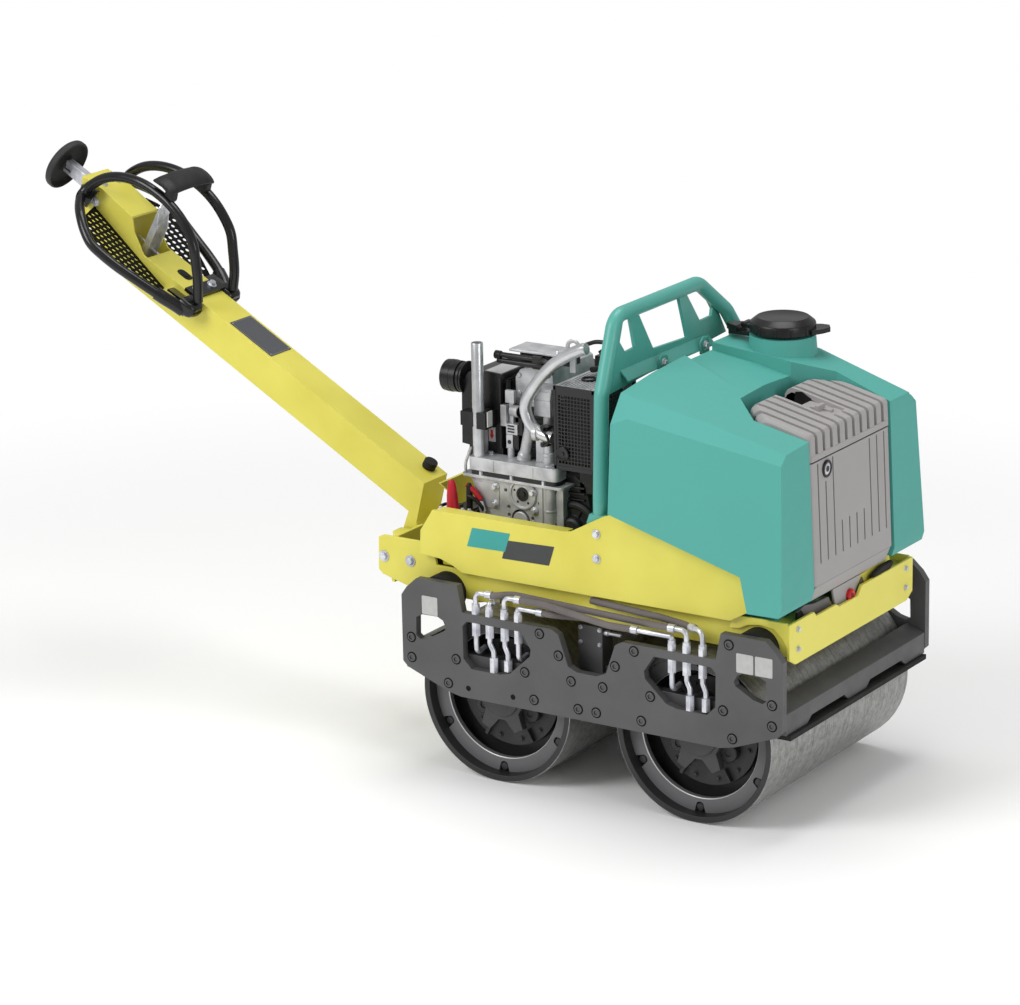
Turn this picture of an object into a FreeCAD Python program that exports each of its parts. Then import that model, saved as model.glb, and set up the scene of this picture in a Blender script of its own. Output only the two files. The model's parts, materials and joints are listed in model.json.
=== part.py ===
import FreeCAD, Part
import Sketcher
import math
import os
import re

# Walk-behind roller with two drums, in millimetres. It is built about the point on the ground
# midway between the drums, +X towards the water tank and +Y towards the machine's left side,
# and set along X by centre_shift, so that the origin lies under the middle of the machine.

Vec = FreeCAD.Vector
doc = FreeCAD.newDocument("roller")

# Driving dimensions. Each one is a size that can be changed by itself.
SIZES = {
    "centre_shift": 632,
    # drums and what carries them
    "drum_radius": 200,
    "drum_wall": 15,
    "drum_gap": 5,
    "drum_apart": 125,
    "web_inset": 80,
    "web_thickness": 20,
    "ring_width": 35,
    "ring_thickness": 14,
    "ring_recess": 28,
    "hub_radius": 130,
    "hub_thickness": 18,
    "stub_radius": 35,
    "boss_radius": 47,
    "shaft_clearance": 0.1,
    "fit_gap": 0.3,
    # side plates of the drum frame
    "frame_width": 700,
    "plate_thickness": 20,
    "plate_overhang": 40.5,
    "plate_rise": 5,
    "tower_height": 63,
    "tower_datum": 468,
    # sprung chassis
    "mount_length": 45,
    "mount_radius": 48,
    "mount_inset": 90,
    "rail_thickness": 8,
    "panel_step": 20,
    "panel_thickness": 6,
    "panel_bottom": 484,
    "panel_top": 625,
    "peak_height": 681,
    "deck_height": 470,
    "deck_thickness": 8,
    "tail_overhang": 108,
    "nose_setback": 16,
    "bulkhead_setback": 37,
    # drawbar
    "pivot_overhang": 177,
    "pivot_height": 455,
    "pin_radius": 10,
    "beam_width": 100,
    "beam_depth": 89,
    "beam_rise": 141,
    "beam_length": 974,
    "beam_slope": 29.75,
    "beam_wall": 4,
    "side_clearance": 5.5,
    "handle_tube": 12.5,
    "loop_gap": 21,
    "stop_reach": 1302,
    "pad_radius": 77,
    # water tank and front unit
    "tank_rear": 58,
    "tank_setback": 24,
    "tank_top": 977,
    "tank_slope": 0.2177,
    "tank_bottom": 521,
    "tank_half_width": 343,
    "cap_across": 200,
    "cap_along": 197,
    "cap_radius": 76,
    "neck_top": 1008,
    "recess_half_width": 190,
    "cover_clearance": 5,
    "door_bottom": 553,
    "door_top": 829,
    "door_thickness": 5,
    # roll bar and engine
    "bar_tube": 17,
    "bar_height": 1105,
    "bar_half_width": 183,
    "engine_face": 190,
    # hydraulic lines
    "hose_radius": 8,
    "pipe_radius": 6,
    "fitting_radius": 10.5,
}

# Lengths that follow from the sizes, written with their names.
FOLLOWING = {
    "axle_along": "(drum_radius + drum_apart/2)",
    "plate_end": "(axle_along + drum_radius + plate_overhang)",
    "plate_out": "(frame_width/2)",
    "plate_in": "(plate_out - plate_thickness)",
    "drum_half": "(plate_in - drum_gap)",
    "web_out": "(drum_half - web_inset)",
    "plate_bottom": "(drum_radius)",
    "plate_top": "(2*drum_radius + plate_rise)",
    "tower_top": "(plate_top + tower_height)",
    "upper_lift": "(tower_top - tower_datum)",
    "rail_out": "(plate_in - mount_length)",
    "rail_in": "(rail_out - rail_thickness)",
    "panel_out": "(rail_out + panel_step)",
    "panel_in": "(panel_out - panel_thickness)",
    "mount_along": "(plate_end - mount_inset)",
    "tail_end": "(plate_end + tail_overhang)",
    "nose_end": "(plate_end - nose_setback)",
    "bulkhead_along": "(plate_end + bulkhead_setback)",
    "pivot_along": "(plate_end + pivot_overhang)",
    "yoke_in": "(beam_width/2 + side_clearance)",
    "handle_spread": "(beam_width/2 + loop_gap)",
    "tank_front": "(plate_end - tank_setback)",
    "door_half": "(recess_half_width - cover_clearance)",
}

sheet = doc.addObject("Spreadsheet::Sheet", "Sizes")
for row, (name, number) in enumerate(SIZES.items(), start=1):
    sheet.set(f"A{row}", name)
    sheet.set(f"B{row}", str(number))
    sheet.setAlias(f"B{row}", name)
doc.recompute()

WORD = re.compile(r"[a-z]+(?:_[a-z]+)+")


def tied(text):
    """A formula with its following lengths written out and each size tied to its cell."""
    text = str(text)
    while any(word in FOLLOWING for word in WORD.findall(text)):
        text = WORD.sub(lambda found: FOLLOWING.get(found[0], found[0]), text)
    return WORD.sub(lambda found: "Sizes." + found[0], text)


def mm(text):
    """The present value of a formula."""
    answer = sheet.evalExpression(tied(text))
    return float(getattr(answer, "Value", answer))


PARTS = []


def place(thing, along="0", across="0", height="0"):
    """Tie an object's place to a point of the machine."""
    thing.setExpression("Placement.Base.x", tied(f"centre_shift + ({along})"))
    thing.setExpression("Placement.Base.y", tied(f"0 * drum_radius + ({across})"))
    thing.setExpression("Placement.Base.z", tied(f"0 * drum_radius + ({height})"))


def new_body(name, along="0", across="0", height="0"):
    """An empty body, named and placed, that is exported under its name."""
    body = doc.addObject("PartDesign::Body", name)
    body.Label = name
    body.AllowCompound = True
    place(body, along, across, height)
    PARTS.append(body)
    return body


def upper_body(name):
    """A body of the sprung upper machine, which rides at the height of the towers."""
    return new_body(name, height="upper_lift")


def drawbar_body(name):
    """A body of the drawbar, drawn about its pivot with X along the beam towards the drums."""
    body = new_body(name, "-pivot_along", "0", "pivot_height + upper_lift")
    body.Placement.Rotation = FreeCAD.Rotation(Vec(0, 1, 0), mm("beam_slope"))
    body.setExpression("Placement.Rotation.Angle", tied("beam_slope * 1"))
    return body


def keep_shape(name, shape, height="0"):
    """A sub-part whose solids are worked out from the sheet by the functions below."""
    thing = doc.addObject("Part::Feature", name)
    thing.Label = name
    thing.Shape = shape
    place(thing, height=height)
    PARTS.append(thing)
    return thing


def tie_point(sketch, curve, end, spot):
    """Tie one point of a sketch curve to its two formulas."""
    for kind, formula in zip(("DistanceX", "DistanceY"), spot):
        number = sketch.addConstraint(Sketcher.Constraint(kind, curve, end, mm(formula)))
        sketch.setExpression(f"Constraints[{number}]", tied(formula))


def draw(body, plane, offset, outlines, circles):
    """A sketch on one of the body's own planes, with every point tied to the sheet."""
    sketch = body.newObject("Sketcher::SketchObject", body.Name + "_sketch")
    planes = [part for part in body.Origin.OriginFeatures if part.Role == plane + "_Plane"]
    sketch.AttachmentSupport = [(planes[0], "")]
    sketch.MapMode = "FlatFace"
    sketch.setExpression("AttachmentOffset.Base.z", tied(f"0 * drum_radius + ({offset})"))
    for outline in outlines:
        spots = [Vec(mm(a), mm(b), 0) for a, b in outline]
        first = sketch.GeometryCount
        for spot, after in zip(spots, spots[1:] + spots[:1]):
            sketch.addGeometry(Part.LineSegment(spot, after), False)
        for step, spot in enumerate(outline):
            before = first + (step - 1) % len(spots)
            sketch.addConstraint(Sketcher.Constraint("Coincident", before, 2, first + step, 1))
            tie_point(sketch, first + step, 1, spot)
    for a, b, radius in circles:
        ring = sketch.addGeometry(Part.Circle(Vec(mm(a), mm(b), 0), Vec(0, 0, 1), mm(radius)), False)
        tie_point(sketch, ring, 3, (a, b))
        number = sketch.addConstraint(Sketcher.Constraint("Radius", ring, mm(radius)))
        sketch.setExpression(f"Constraints[{number}]", tied(radius))
    return sketch


def pad(body, plane, low, high, outlines=(), circles=()):
    """Material between two levels across a plane: heights on XY, along on YZ, across on XZ."""
    start = f"-({high})" if plane == "XZ" else low
    sketch = draw(body, plane, start, outlines, circles)
    feature = body.newObject("PartDesign::Pad", body.Name + "_pad")
    feature.Profile = sketch
    feature.setExpression("Length", tied(f"({high}) - ({low})"))
    return feature


def pocket(body, plane, low, high, outlines=(), circles=()):
    """The same, but cut away; the volume shows that something was cut."""
    doc.recompute()
    before = body.Shape.Volume
    start = f"-({low})" if plane == "XZ" else high
    sketch = draw(body, plane, start, outlines, circles)
    feature = body.newObject("PartDesign::Pocket", body.Name + "_pocket")
    feature.Profile = sketch
    feature.setExpression("Length", tied(f"({high}) - ({low})"))
    doc.recompute()
    if body.Shape.Volume >= before:
        raise RuntimeError(body.Name + ": a pocket cut nothing")
    return feature


def turn(body, outlines):
    """Solids turned about the body's own Y axis, from radius and place along the axis."""
    sketch = draw(body, "XY", "0", outlines, ())
    feature = body.newObject("PartDesign::Revolution", body.Name + "_turned")
    feature.Profile = sketch
    feature.ReferenceAxis = (sketch, ["V_Axis"])
    return feature


def soften(body, radius, spots):
    """Round the edges of a body that pass through the given points of its own frame."""
    doc.recompute()
    base = body.Tip
    shape = base.Shape
    names = []
    for spot in spots:
        point = Part.Vertex(*[mm(part) for part in spot])
        for number, edge in enumerate(shape.Edges, start=1):
            if edge.distToShape(point)[0] < 0.5 and f"Edge{number}" not in names:
                names.append(f"Edge{number}")
    feature = body.newObject("PartDesign::Fillet", body.Name + "_fillet")
    feature.Base = (base, names)
    feature.setExpression("Radius", tied(radius))
    return feature


def box_outline(left, right, low, high):
    return [(left, low), (right, low), (right, high), (left, high)]


def both_ends(half):
    """An outline from its front half, bottom to top, and the same half mirrored."""
    return half + [(f"-({a})", b) for a, b in reversed(half)]


def flipped(outline):
    return [(f"-({a})", b) for a, b in outline]


def moved(outline, along, height):
    """An outline of numbers, set from a named point."""
    return [(f"{along} + ({a})", f"{height} + ({b})") for a, b in outline]


def tube(points, radius, bend):
    """A round bar along straight runs, with arcs of the bend radius between them."""
    spots = [Vec(*[mm(part) for part in point]) for point in points]
    edges = []
    start = spots[0]
    for before, corner, after in zip(spots, spots[1:], spots[2:]):
        back = (before - corner).normalize()
        ahead = (after - corner).normalize()
        half_turn = (math.pi - back.getAngle(ahead)) / 2
        trim = min(mm(bend) * math.tan(half_turn), 0.45 * (before - corner).Length,
                   0.45 * (after - corner).Length)
        middle = (back + ahead).normalize()
        reach = trim / math.tan(half_turn) * (1 / math.cos(half_turn) - 1)
        entry = corner + back * trim
        leave = corner + ahead * trim
        edges.append(Part.LineSegment(start, entry).toShape())
        edges.append(Part.Arc(entry, corner + middle * reach, leave).toShape())
        start = leave
    edges.append(Part.LineSegment(start, spots[-1]).toShape())
    path = Part.Wire(edges)
    ring = Part.Circle(spots[0], spots[1] - spots[0], mm(radius)).toShape()
    return path.makePipeShell([Part.Wire(ring)], True, False)


def rod(start, end, radius):
    """A plain round bar between two points."""
    first = Vec(*[mm(part) for part in start])
    last = Vec(*[mm(part) for part in end])
    return Part.makeCylinder(mm(radius), (last - first).Length, first, last - first)


def block(low, high):
    """A box between its lowest and highest corners."""
    first = Vec(*[mm(part) for part in low])
    last = Vec(*[mm(part) for part in high])
    return Part.makeBox(last.x - first.x, last.y - first.y, last.z - first.z, first)


def prism(points, sweep):
    """A flat outline of points in space, thickened along a vector."""
    spots = [Vec(*[mm(part) for part in point]) for point in points]
    face = Part.Face(Part.makePolygon(spots + spots[:1]))
    return face.extrude(Vec(*[mm(part) for part in sweep]))


def trimmed(shape, first, second, third, kept):
    """What is left of a shape on the kept point's side of the plane through three points."""
    spots = [Vec(*[mm(part) for part in point]) for point in (first, second, third)]
    normal = (spots[1] - spots[0]).cross(spots[2] - spots[0]).normalize()
    if normal.dot(Vec(*[mm(part) for part in kept]) - spots[0]) > 0:
        normal = normal * -1
    reach = 3000
    slab = Part.makeBox(reach, reach, reach, Vec(-reach / 2, -reach / 2, 0))
    slab.Placement = FreeCAD.Placement(spots[0], FreeCAD.Rotation(Vec(0, 0, 1), normal))
    return shape.cut(slab)


def across_mirror(shape):
    """The same shape on the machine's other side."""
    return shape.mirror(Vec(0, 0, 0), Vec(0, 1, 0))



def drawbar_shape(name, shape):
    """A worked-out sub-part of the drawbar, in the same leaning frame as drawbar_body."""
    thing = keep_shape(name, shape)
    place(thing, "-pivot_along", "0", "pivot_height + upper_lift")
    thing.Placement.Rotation = FreeCAD.Rotation(Vec(0, 1, 0), mm("beam_slope"))
    thing.setExpression("Placement.Rotation.Angle", tied("beam_slope * 1"))
    return thing


SIDES = (("right", "-1"), ("left", "1"))


def side_pad(body, sign, low, high, outlines=(), circles=()):
    """A pad between two distances from the machine's middle, on one side of it."""
    if sign == "-1":
        return pad(body, "XZ", f"-({high})", f"-({low})", outlines, circles)
    return pad(body, "XZ", low, high, outlines, circles)


def side_pocket(body, sign, low, high, outlines=(), circles=()):
    if sign == "-1":
        return pocket(body, "XZ", f"-({high})", f"-({low})", outlines, circles)
    return pocket(body, "XZ", low, high, outlines, circles)


# ---------------------------------------------------------------- drums
def drum_pieces(name, along):
    """A drum: its shell with two webs, its bolted end rings, and the hub discs on the webs."""
    inner = "drum_radius - drum_wall"
    bore = "stub_radius + shaft_clearance"
    web_in = "web_out - web_thickness"
    half = [(bore, "web_out"), (inner, "web_out"), (inner, "drum_half"), ("drum_radius", "drum_half")]
    far = [(a, f"-({b})") for a, b in reversed(half)]
    hollow = [(bore, f"-({web_in})"), (inner, f"-({web_in})"), (inner, web_in), (bore, web_in)]
    shell = new_body(name + "_drum", along, "0", "drum_radius")
    turn(shell, [half + far + hollow])

    ring_out = f"{inner} - fit_gap"
    ring_in = f"{inner} - ring_width"
    face = "drum_half - ring_recess"
    back = f"{face} - ring_thickness"
    ring = [(ring_in, back), (ring_out, back), (ring_out, face), (ring_in, face)]
    rings = new_body(name + "_drum_rings", along, "0", "drum_radius")
    turn(rings, [ring, [(a, f"-({b})") for a, b in ring]])

    disc_out = "web_out + hub_thickness"
    disc = [(bore, "web_out"), ("hub_radius", "web_out"), ("hub_radius", disc_out), (bore, disc_out)]
    discs = new_body(name + "_drum_hubs", along, "0", "drum_radius")
    turn(discs, [disc, [(a, f"-({b})") for a, b in disc]])


def star(centre):
    """Six short legs round an axle end."""
    points = []
    for leg in range(6):
        for turn_by, reach in ((-21, 58), (-8, 92), (8, 92), (21, 58)):
            angle = math.radians(60 * leg + turn_by)
            points.append((round(reach * math.cos(angle), 1), round(reach * math.sin(angle), 1)))
    return moved(points, centre, "drum_radius")


def axle_carriers():
    """What the drums turn on: bolted inside the side plates, with a stub into each web."""
    body = new_body("axle_carriers")
    high = "plate_top - 105 - drum_radius"
    flange = [(-132, 14), (132, 14), (116, high), (-116, high)]
    for _, sign in SIDES:
        stars = [star(centre) for centre in ("axle_along", "-axle_along")]
        side_pad(body, sign, "drum_half - 42", "drum_half - 22", stars)
        flanges = [moved(flange, centre, "drum_radius") for centre in ("axle_along", "-axle_along")]
        side_pad(body, sign, "drum_half - 22", "plate_in", flanges)
        caps = [(centre, "drum_radius", "boss_radius") for centre in ("axle_along", "-axle_along")]
        side_pad(body, sign, "drum_half - 42", "drum_half - 17", (), caps)
        stubs = [(centre, "drum_radius", "stub_radius") for centre in ("axle_along", "-axle_along")]
        side_pad(body, sign, "web_out - web_thickness", "drum_half - 42", (), stubs)


# ---------------------------------------------------------------- drum frame
def side_plate(name, sign):
    """One thick side plate of the drum frame, with its towers and windows."""
    body = new_body("side_plate_" + name)
    half = [
        ("axle_along + 82", "plate_bottom"), ("plate_end - 121", "plate_bottom + 8"),
        ("plate_end - 63", "plate_bottom + 30"), ("plate_end - 13", "plate_bottom + 49"),
        ("plate_end", "plate_bottom + 62"), ("plate_end", "tower_top - 45"),
        ("plate_end - 15", "tower_top - 24"), ("plate_end - 42", "tower_top"),
        ("plate_end - 155", "tower_top"), ("plate_end - 168", "plate_top"),
        ("95", "plate_top"), ("75", "plate_top - 10"), ("50", "plate_top - 82"),
        ("25", "plate_top - 92"),
    ]
    side_pad(body, sign, "plate_in", "plate_out", [both_ends(half)])
    small = [(200.5, -31), (183.5, -22), (141.5, -21), (126.5, -28), (118.5, -44), (122.5, -53),
             (168.5, -78), (190.5, -83), (201.5, -75)]
    large = [(72.5, -32), (60.5, -20), (-86.5, -20), (-112.5, -59), (-109.5, -76), (-54.5, -126),
             (-26.5, -133), (49.5, -133), (71.5, -111)]
    windows = [moved(small, "axle_along", "plate_top"), moved(large, "axle_along", "plate_top")]
    windows = windows + [flipped(window) for window in windows]
    side_pocket(body, sign, "plate_in", "plate_out", windows)


def scrapers():
    """A folded beam across each end of the drum frame, with a scraper strip under it."""
    beams = new_body("scraper_beams")
    fold = [(-48, -89), (-1, -106), (-1, -156), (-33, -156), (-33, -148), (-9, -148), (-9, -112),
            (-46, -98)]
    outline = moved(fold, "plate_end", "plate_top")
    pad(beams, "XZ", "-plate_in", "plate_in", [outline, flipped(outline)])
    notch = [("38", "plate_top - 160"), ("62", "plate_top - 141"), ("213", "plate_top - 141"),
             ("239", "plate_top - 160")]
    pocket(beams, "YZ", "-plate_end - 5", "plate_end + 5", [notch, flipped(notch)])

    strips = new_body("scraper_strips")
    blade = moved([(-38, -168), (7, -168), (7, -156), (-38, -156)], "plate_end", "plate_top")
    pad(strips, "XZ", "-plate_in + 6", "plate_in - 6", [blade, flipped(blade)])


def centre_beam():
    """The cross beam between the two drums, with its lower lips."""
    body = new_body("centre_beam")
    outline = moved([(-42, 26), (-34, 14), (34, 14), (42, 26), (42, 92), (-42, 92)], "0", "plate_bottom")
    pad(body, "XZ", "-plate_in", "plate_in", [outline])
    lip = box_outline("-34", "34", "plate_bottom - 20", "plate_bottom + 14")
    pad(body, "XZ", "-plate_in + 40", "-plate_in + 52", [lip])
    pad(body, "XZ", "plate_in - 52", "plate_in - 40", [lip])


# ---------------------------------------------------------------- sprung chassis
def rubber_mounts():
    """Four round rubber mounts between the side plates and the chassis rails."""
    body = new_body("rubber_mounts")
    height = "tower_top - 41"
    circles = [("mount_along", height, "mount_radius"), ("-mount_along", height, "mount_radius")]
    for _, sign in SIDES:
        side_pad(body, sign, "rail_out", "plate_in", (), circles)


def chassis_rails():
    """The two long plates inside the yellow panels, with a lug down behind each rear mount."""
    body = upper_body("chassis_rails")
    outline = [
        ("-tail_end", "450"), ("-tail_end + 12", "439"), ("-tail_end + 80", "421"),
        ("-tail_end + 130", "415"), ("nose_end - 6", "415"), ("nose_end - 6", "484"),
        ("-tail_end + 165", "484"), ("-tail_end + 150", "535"), ("-tail_end + 15", "535"),
        ("-tail_end + 2", "529"),
    ]
    lug = [("-378", "470"), ("-352", "405"), ("-268", "424"), ("-265", "470")]
    for _, sign in SIDES:
        side_pad(body, sign, "rail_in", "rail_out", [outline])
        side_pad(body, sign, "rail_in - 6", "rail_in", [lug])


def chassis_panel(name, sign):
    """A yellow side panel, with the flanges that hold it off the rail."""
    body = upper_body("chassis_panel_" + name)
    outline = [
        ("-479", "513"), ("-423", "509"), ("-388", "497"), ("-364", "panel_bottom"),
        ("plate_end - 157", "panel_bottom"), ("plate_end - 98", "panel_top - 107"),
        ("plate_end - 117", "peak_height - 89"), ("38", "peak_height"), ("22", "peak_height - 5"),
        ("-66", "panel_top + 3"), ("-82", "panel_top"), ("-442", "panel_top - 2"),
        ("-476", "panel_top - 55"),
    ]
    side_pad(body, sign, "panel_in", "panel_out", [outline])
    low = box_outline("-350", "330", "panel_bottom", "panel_bottom + 6")
    side_pad(body, sign, "rail_in", "panel_in", [low])
    top = box_outline("-438", "-84", "panel_top - 9", "panel_top - 3")
    side_pad(body, sign, "rail_in - 12", "panel_in", [top])
    wall = box_outline("-438", "-84", "panel_bottom", "panel_top - 9")
    side_pad(body, sign, "rail_in - 12", "rail_in - 6", [wall])


def front_bumper():
    """The folded front plate, with a wing along each rail cut out round the rubber mount."""
    body = upper_body("front_bumper")
    face = [
        ("-rail_out + 22", "394"), ("rail_out - 22", "394"), ("rail_out + 7", "410"),
        ("rail_out + 7", "492"), ("45", "492"), ("25", "472"), ("-62", "472"), ("-75", "480"),
        ("-168", "480"), ("-180", "492"), ("-rail_out - 7", "492"), ("-rail_out - 7", "410"),
    ]
    pad(body, "YZ", "nose_end - 6", "nose_end + 2", [face])
    wing = [("plate_end - 166", "463"), ("plate_end - 141", "465"), ("plate_end - 120", "476"),
            ("plate_end - 90", "481"), ("plate_end - 55", "477"), ("plate_end - 34", "459"),
            ("nose_end - 6", "440"), ("nose_end - 6", "495"), ("plate_end - 158", "495")]
    for _, sign in SIDES:
        side_pad(body, sign, "rail_out", "rail_out + 7", [wing])


def rear_frame():
    """The crossmember between the rail ends, the yoke that carries the drawbar, and its pin."""
    cross = upper_body("rear_crossmember")
    outline = [("-rail_in", "421"), ("rail_in", "421"), ("rail_in", "529"), ("150", "529"),
               ("100", "462"), ("-100", "462"), ("-150", "529"), ("-rail_in", "529")]
    pad(cross, "YZ", "-tail_end + 30", "-tail_end + 40", [outline])

    yoke = upper_body("drawbar_yoke")
    cheek = [("-pivot_along - 24", "yoke_in"), ("-tail_end + 30", "yoke_in"),
             ("-tail_end + 30", "yoke_in + 94"), ("-pivot_along - 12", "yoke_in + 48"),
             ("-pivot_along - 24", "yoke_in + 36")]
    pad(yoke, "XY", "pivot_height - 24", "pivot_height + 22",
        [cheek, [(a, f"-({b})") for a, b in cheek]])
    hole = [("-pivot_along", "pivot_height", "pin_radius")]
    pocket(yoke, "XZ", "-yoke_in - 60", "yoke_in + 60", (), hole)

    pin = upper_body("drawbar_pin")
    pad(pin, "XZ", "-yoke_in - 52", "yoke_in + 52", (), hole)


def engine_deck():
    """The floor under the engine and tank, with the upright plate ahead of the drawbar."""
    body = upper_body("engine_deck")
    floor = box_outline("-bulkhead_along + 12", "tank_front - 14", "-rail_in", "rail_in")
    pad(body, "XY", "deck_height", "deck_height + deck_thickness", [floor])
    upright = [("-93", "deck_height"), ("93", "deck_height"), ("93", "590"), ("152", "637"),
               ("-152", "637"), ("-93", "590")]
    pad(body, "YZ", "-bulkhead_along + 12", "-bulkhead_along + 20", [upright])


# ---------------------------------------------------------------- drawbar
def drawbar_beam():
    """The box beam with its foot on the pin and the hood at the operator's end."""
    body = drawbar_body("drawbar_beam")
    half = "beam_width/2"
    low = "beam_rise - beam_depth"
    outline = [
        ("-26", "-8"), ("-8", "-24"), ("12", "-22"), ("24", "-6"), ("24", "14"), ("-4", "41"),
        ("-32", "beam_rise"), ("-beam_length", "beam_rise"),
        ("-beam_length - 50", "beam_rise + 35"), ("-beam_length - 72", "beam_rise + 66"),
        ("-beam_length - 175", "beam_rise + 74"), ("-beam_length - 246", "beam_rise + 67"),
        ("-beam_length - 213", "beam_rise - 19"), ("-beam_length - 60", f"{low} + 10"),
        ("-beam_length - 30", low), ("-36", low),
    ]
    pad(body, "XZ", f"-{half}", half, [outline])
    pocket(body, "XZ", f"-{half}", half, (), [("0", "0", "pin_radius + shaft_clearance")])
    well = [
        ("-beam_length - 166", "beam_rise - 55"), ("-beam_length + 12", "beam_rise - 55"),
        ("-beam_length + 12", "beam_rise + 12"), ("-beam_length - 60", "beam_rise + 90"),
        ("-beam_length - 70", "beam_rise + 60"), ("-beam_length - 166", "beam_rise + 66"),
    ]
    pocket(body, "XZ", f"-{half} + beam_wall", f"{half} - beam_wall", [well])


def loop_tube(radius):
    """The left loop's tube: over the top, round the nose and back along the guard's edge."""
    spots = [(201, 0, 9), (182, 3, 51), (155, 4, 93), (125, 5, 132), (80, 4, 160), (35, 4, 175),
             (-13, 4, 180), (-69, 5, 175), (-123, 4, 155), (-167, 4, 123), (-196, 5, 81),
             (-204, 17, 51), (-188, 41, 47), (-167, 64, 43), (-141, 84, 37), (-111, 97, 24),
             (-76, 104, 10.5), (-38, 99, 3), (10, 89, -3), (61, 75, -6.5), (119, 60, -12),
             (205, 41, -22)]
    return tube([(f"-beam_length + {a}", f"handle_spread + {b}", f"beam_rise + {c}")
                 for a, b, c in spots], radius, "80")


def handle_loops():
    """A bent tube on each side, which ends flat on the clamp, and the grip across them."""
    foot = block(("-beam_length + 160", "handle_spread - 20", "beam_rise - 8"),
                 ("-beam_length + 230", "handle_spread + 20", "beam_rise + 14"))
    end = block(("-beam_length + 178", "handle_spread + 21", "beam_rise - 50"),
                ("-beam_length + 240", "handle_spread + 75", "beam_rise + 10"))
    left = loop_tube("handle_tube").cut(foot).cut(end)
    drawbar_shape("handle_loops", Part.makeCompound([across_mirror(left), left]))

    hollow = loop_tube("handle_tube + fit_gap")
    top = "beam_rise + 193"
    outline = [("-beam_length - 40", top), ("-beam_length + 46", top),
               ("-beam_length + 50", f"{top} + 12"), ("-beam_length + 20", f"{top} + 24"),
               ("-beam_length - 24", f"{top} + 22"), ("-beam_length - 46", f"{top} + 10")]
    grip = prism([(a, "-handle_spread - 18", b) for a, b in outline],
                 ("0", "2*handle_spread + 36", "0"))
    drawbar_shape("palm_grip", grip.cut(hollow).cut(across_mirror(hollow)))


def handle_clamp():
    """The cross clamp that holds the tube ends on the beam, and the two blocks at the nose."""
    back = "-beam_length + 178"
    outer = "beam_width/2 + 80"
    low = "beam_rise - 46"
    high = "beam_rise + 14"
    bridge = prism([(back, f"-({outer})", low), (back, "-beam_width/2", low),
                    (back, "-beam_width/2", "beam_rise"), (back, "beam_width/2", "beam_rise"),
                    (back, "beam_width/2", low), (back, outer, low), (back, outer, high),
                    (back, f"-({outer})", high)], ("40", "0", "0"))
    outline = [(-231, 54), (-198, 66), (-172, 70), (-171, 59), (-195, 6), (-226, 5), (-235, 15)]
    nose = prism([(f"-beam_length + {a}", "beam_width/2", f"beam_rise + {b}") for a, b in outline],
                 ("0", "36", "0")).cut(loop_tube("handle_tube"))
    drawbar_shape("handle_clamp", Part.makeCompound([bridge, nose, across_mirror(nose)]))


def handle_fittings():
    """The perforated guards, the hand lever, the stop with its rod and the beam's buffer."""
    corners = [(-181, 0), (-154, 75), (-129, 93), (-104, 104), (-74, 110), (-35, 105), (13, 95),
               (63, 81), (104, 68), (90, 0)]
    guard = prism([(f"-beam_length + {a}", f"beam_width/2 + {b}",
                    f"beam_rise + 18 - 0.21*({a} + 181) + 0.117*{b}") for a, b in corners],
                  ("0", "0", "3"))
    drawbar_shape("handle_guards", Part.makeCompound([across_mirror(guard), guard]))

    lever = drawbar_body("hand_lever")
    blade = [("-beam_length + 6", "beam_rise - 55"), ("-beam_length + 12", "beam_rise - 2"),
             ("-beam_length - 50", "beam_rise + 104"), ("-beam_length - 66", "beam_rise + 100"),
             ("-beam_length - 22", "beam_rise - 2"), ("-beam_length - 28", "beam_rise - 55")]
    pad(lever, "XZ", "-20", "20", [blade])

    bar = drawbar_body("stop_rod")
    middle = "beam_rise + 33"
    pad(bar, "YZ", "-stop_reach + 18", "-beam_length - 236.5", (), [("0", middle, "9")])

    cup = drawbar_body("stop_pad")
    pad(cup, "YZ", "-stop_reach - 14", "-stop_reach", (), [("0", middle, "pad_radius")])
    pad(cup, "YZ", "-stop_reach", "-stop_reach + 18", (), [("0", middle, "22")])

    buffer = drawbar_body("beam_buffer")
    pad(buffer, "XY", "beam_rise", "beam_rise + 20", (), [("-70", "18", "17")])


# ---------------------------------------------------------------- water tank and front unit
def tank_half(shape, side):
    """The three slopes on one side of the tank: its top, the bevel and the side, and one corner."""
    inside = ("250", "0", "700")
    rear = "tank_rear"
    front = "tank_front"
    slope = "tank_slope * (tank_front - tank_rear)"
    top = ((rear, "0", "tank_top + 8"), (rear, f"{side}*150", "tank_top"),
           (front, "0", f"tank_top + 8 - {slope}"))
    shoulder = ((rear, f"{side}*285", "tank_top - 15"), (front, f"{side}*282", "tank_top - 91"),
                (rear, f"{side}*150", "tank_top"))
    bevel = ((rear, f"{side}*(tank_half_width - 58)", "tank_top - 15"),
             (front, f"{side}*(tank_half_width - 61)", "tank_top - 91"),
             (front, f"{side}*(tank_half_width - 28)", "tank_top - 119"))
    flank = ((front, f"{side}*(tank_half_width - 28)", "tank_top - 119"),
             (front, f"{side}*(tank_half_width - 5)", "tank_bottom + 26"),
             ("tank_rear + 57", f"{side}*(tank_half_width - 15)", "tank_top - 65"))
    corner = ((rear, f"{side}*(tank_half_width - 58)", "tank_top - 15"),
              (rear, f"{side}*(tank_half_width - 15)", "tank_top - 72"),
              ("tank_rear + 57", f"{side}*(tank_half_width - 18)", "tank_top - 51"))
    for plane in (top, shoulder, bevel, flank, corner):
        shape = trimmed(shape, *plane, inside)
    return shape


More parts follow.
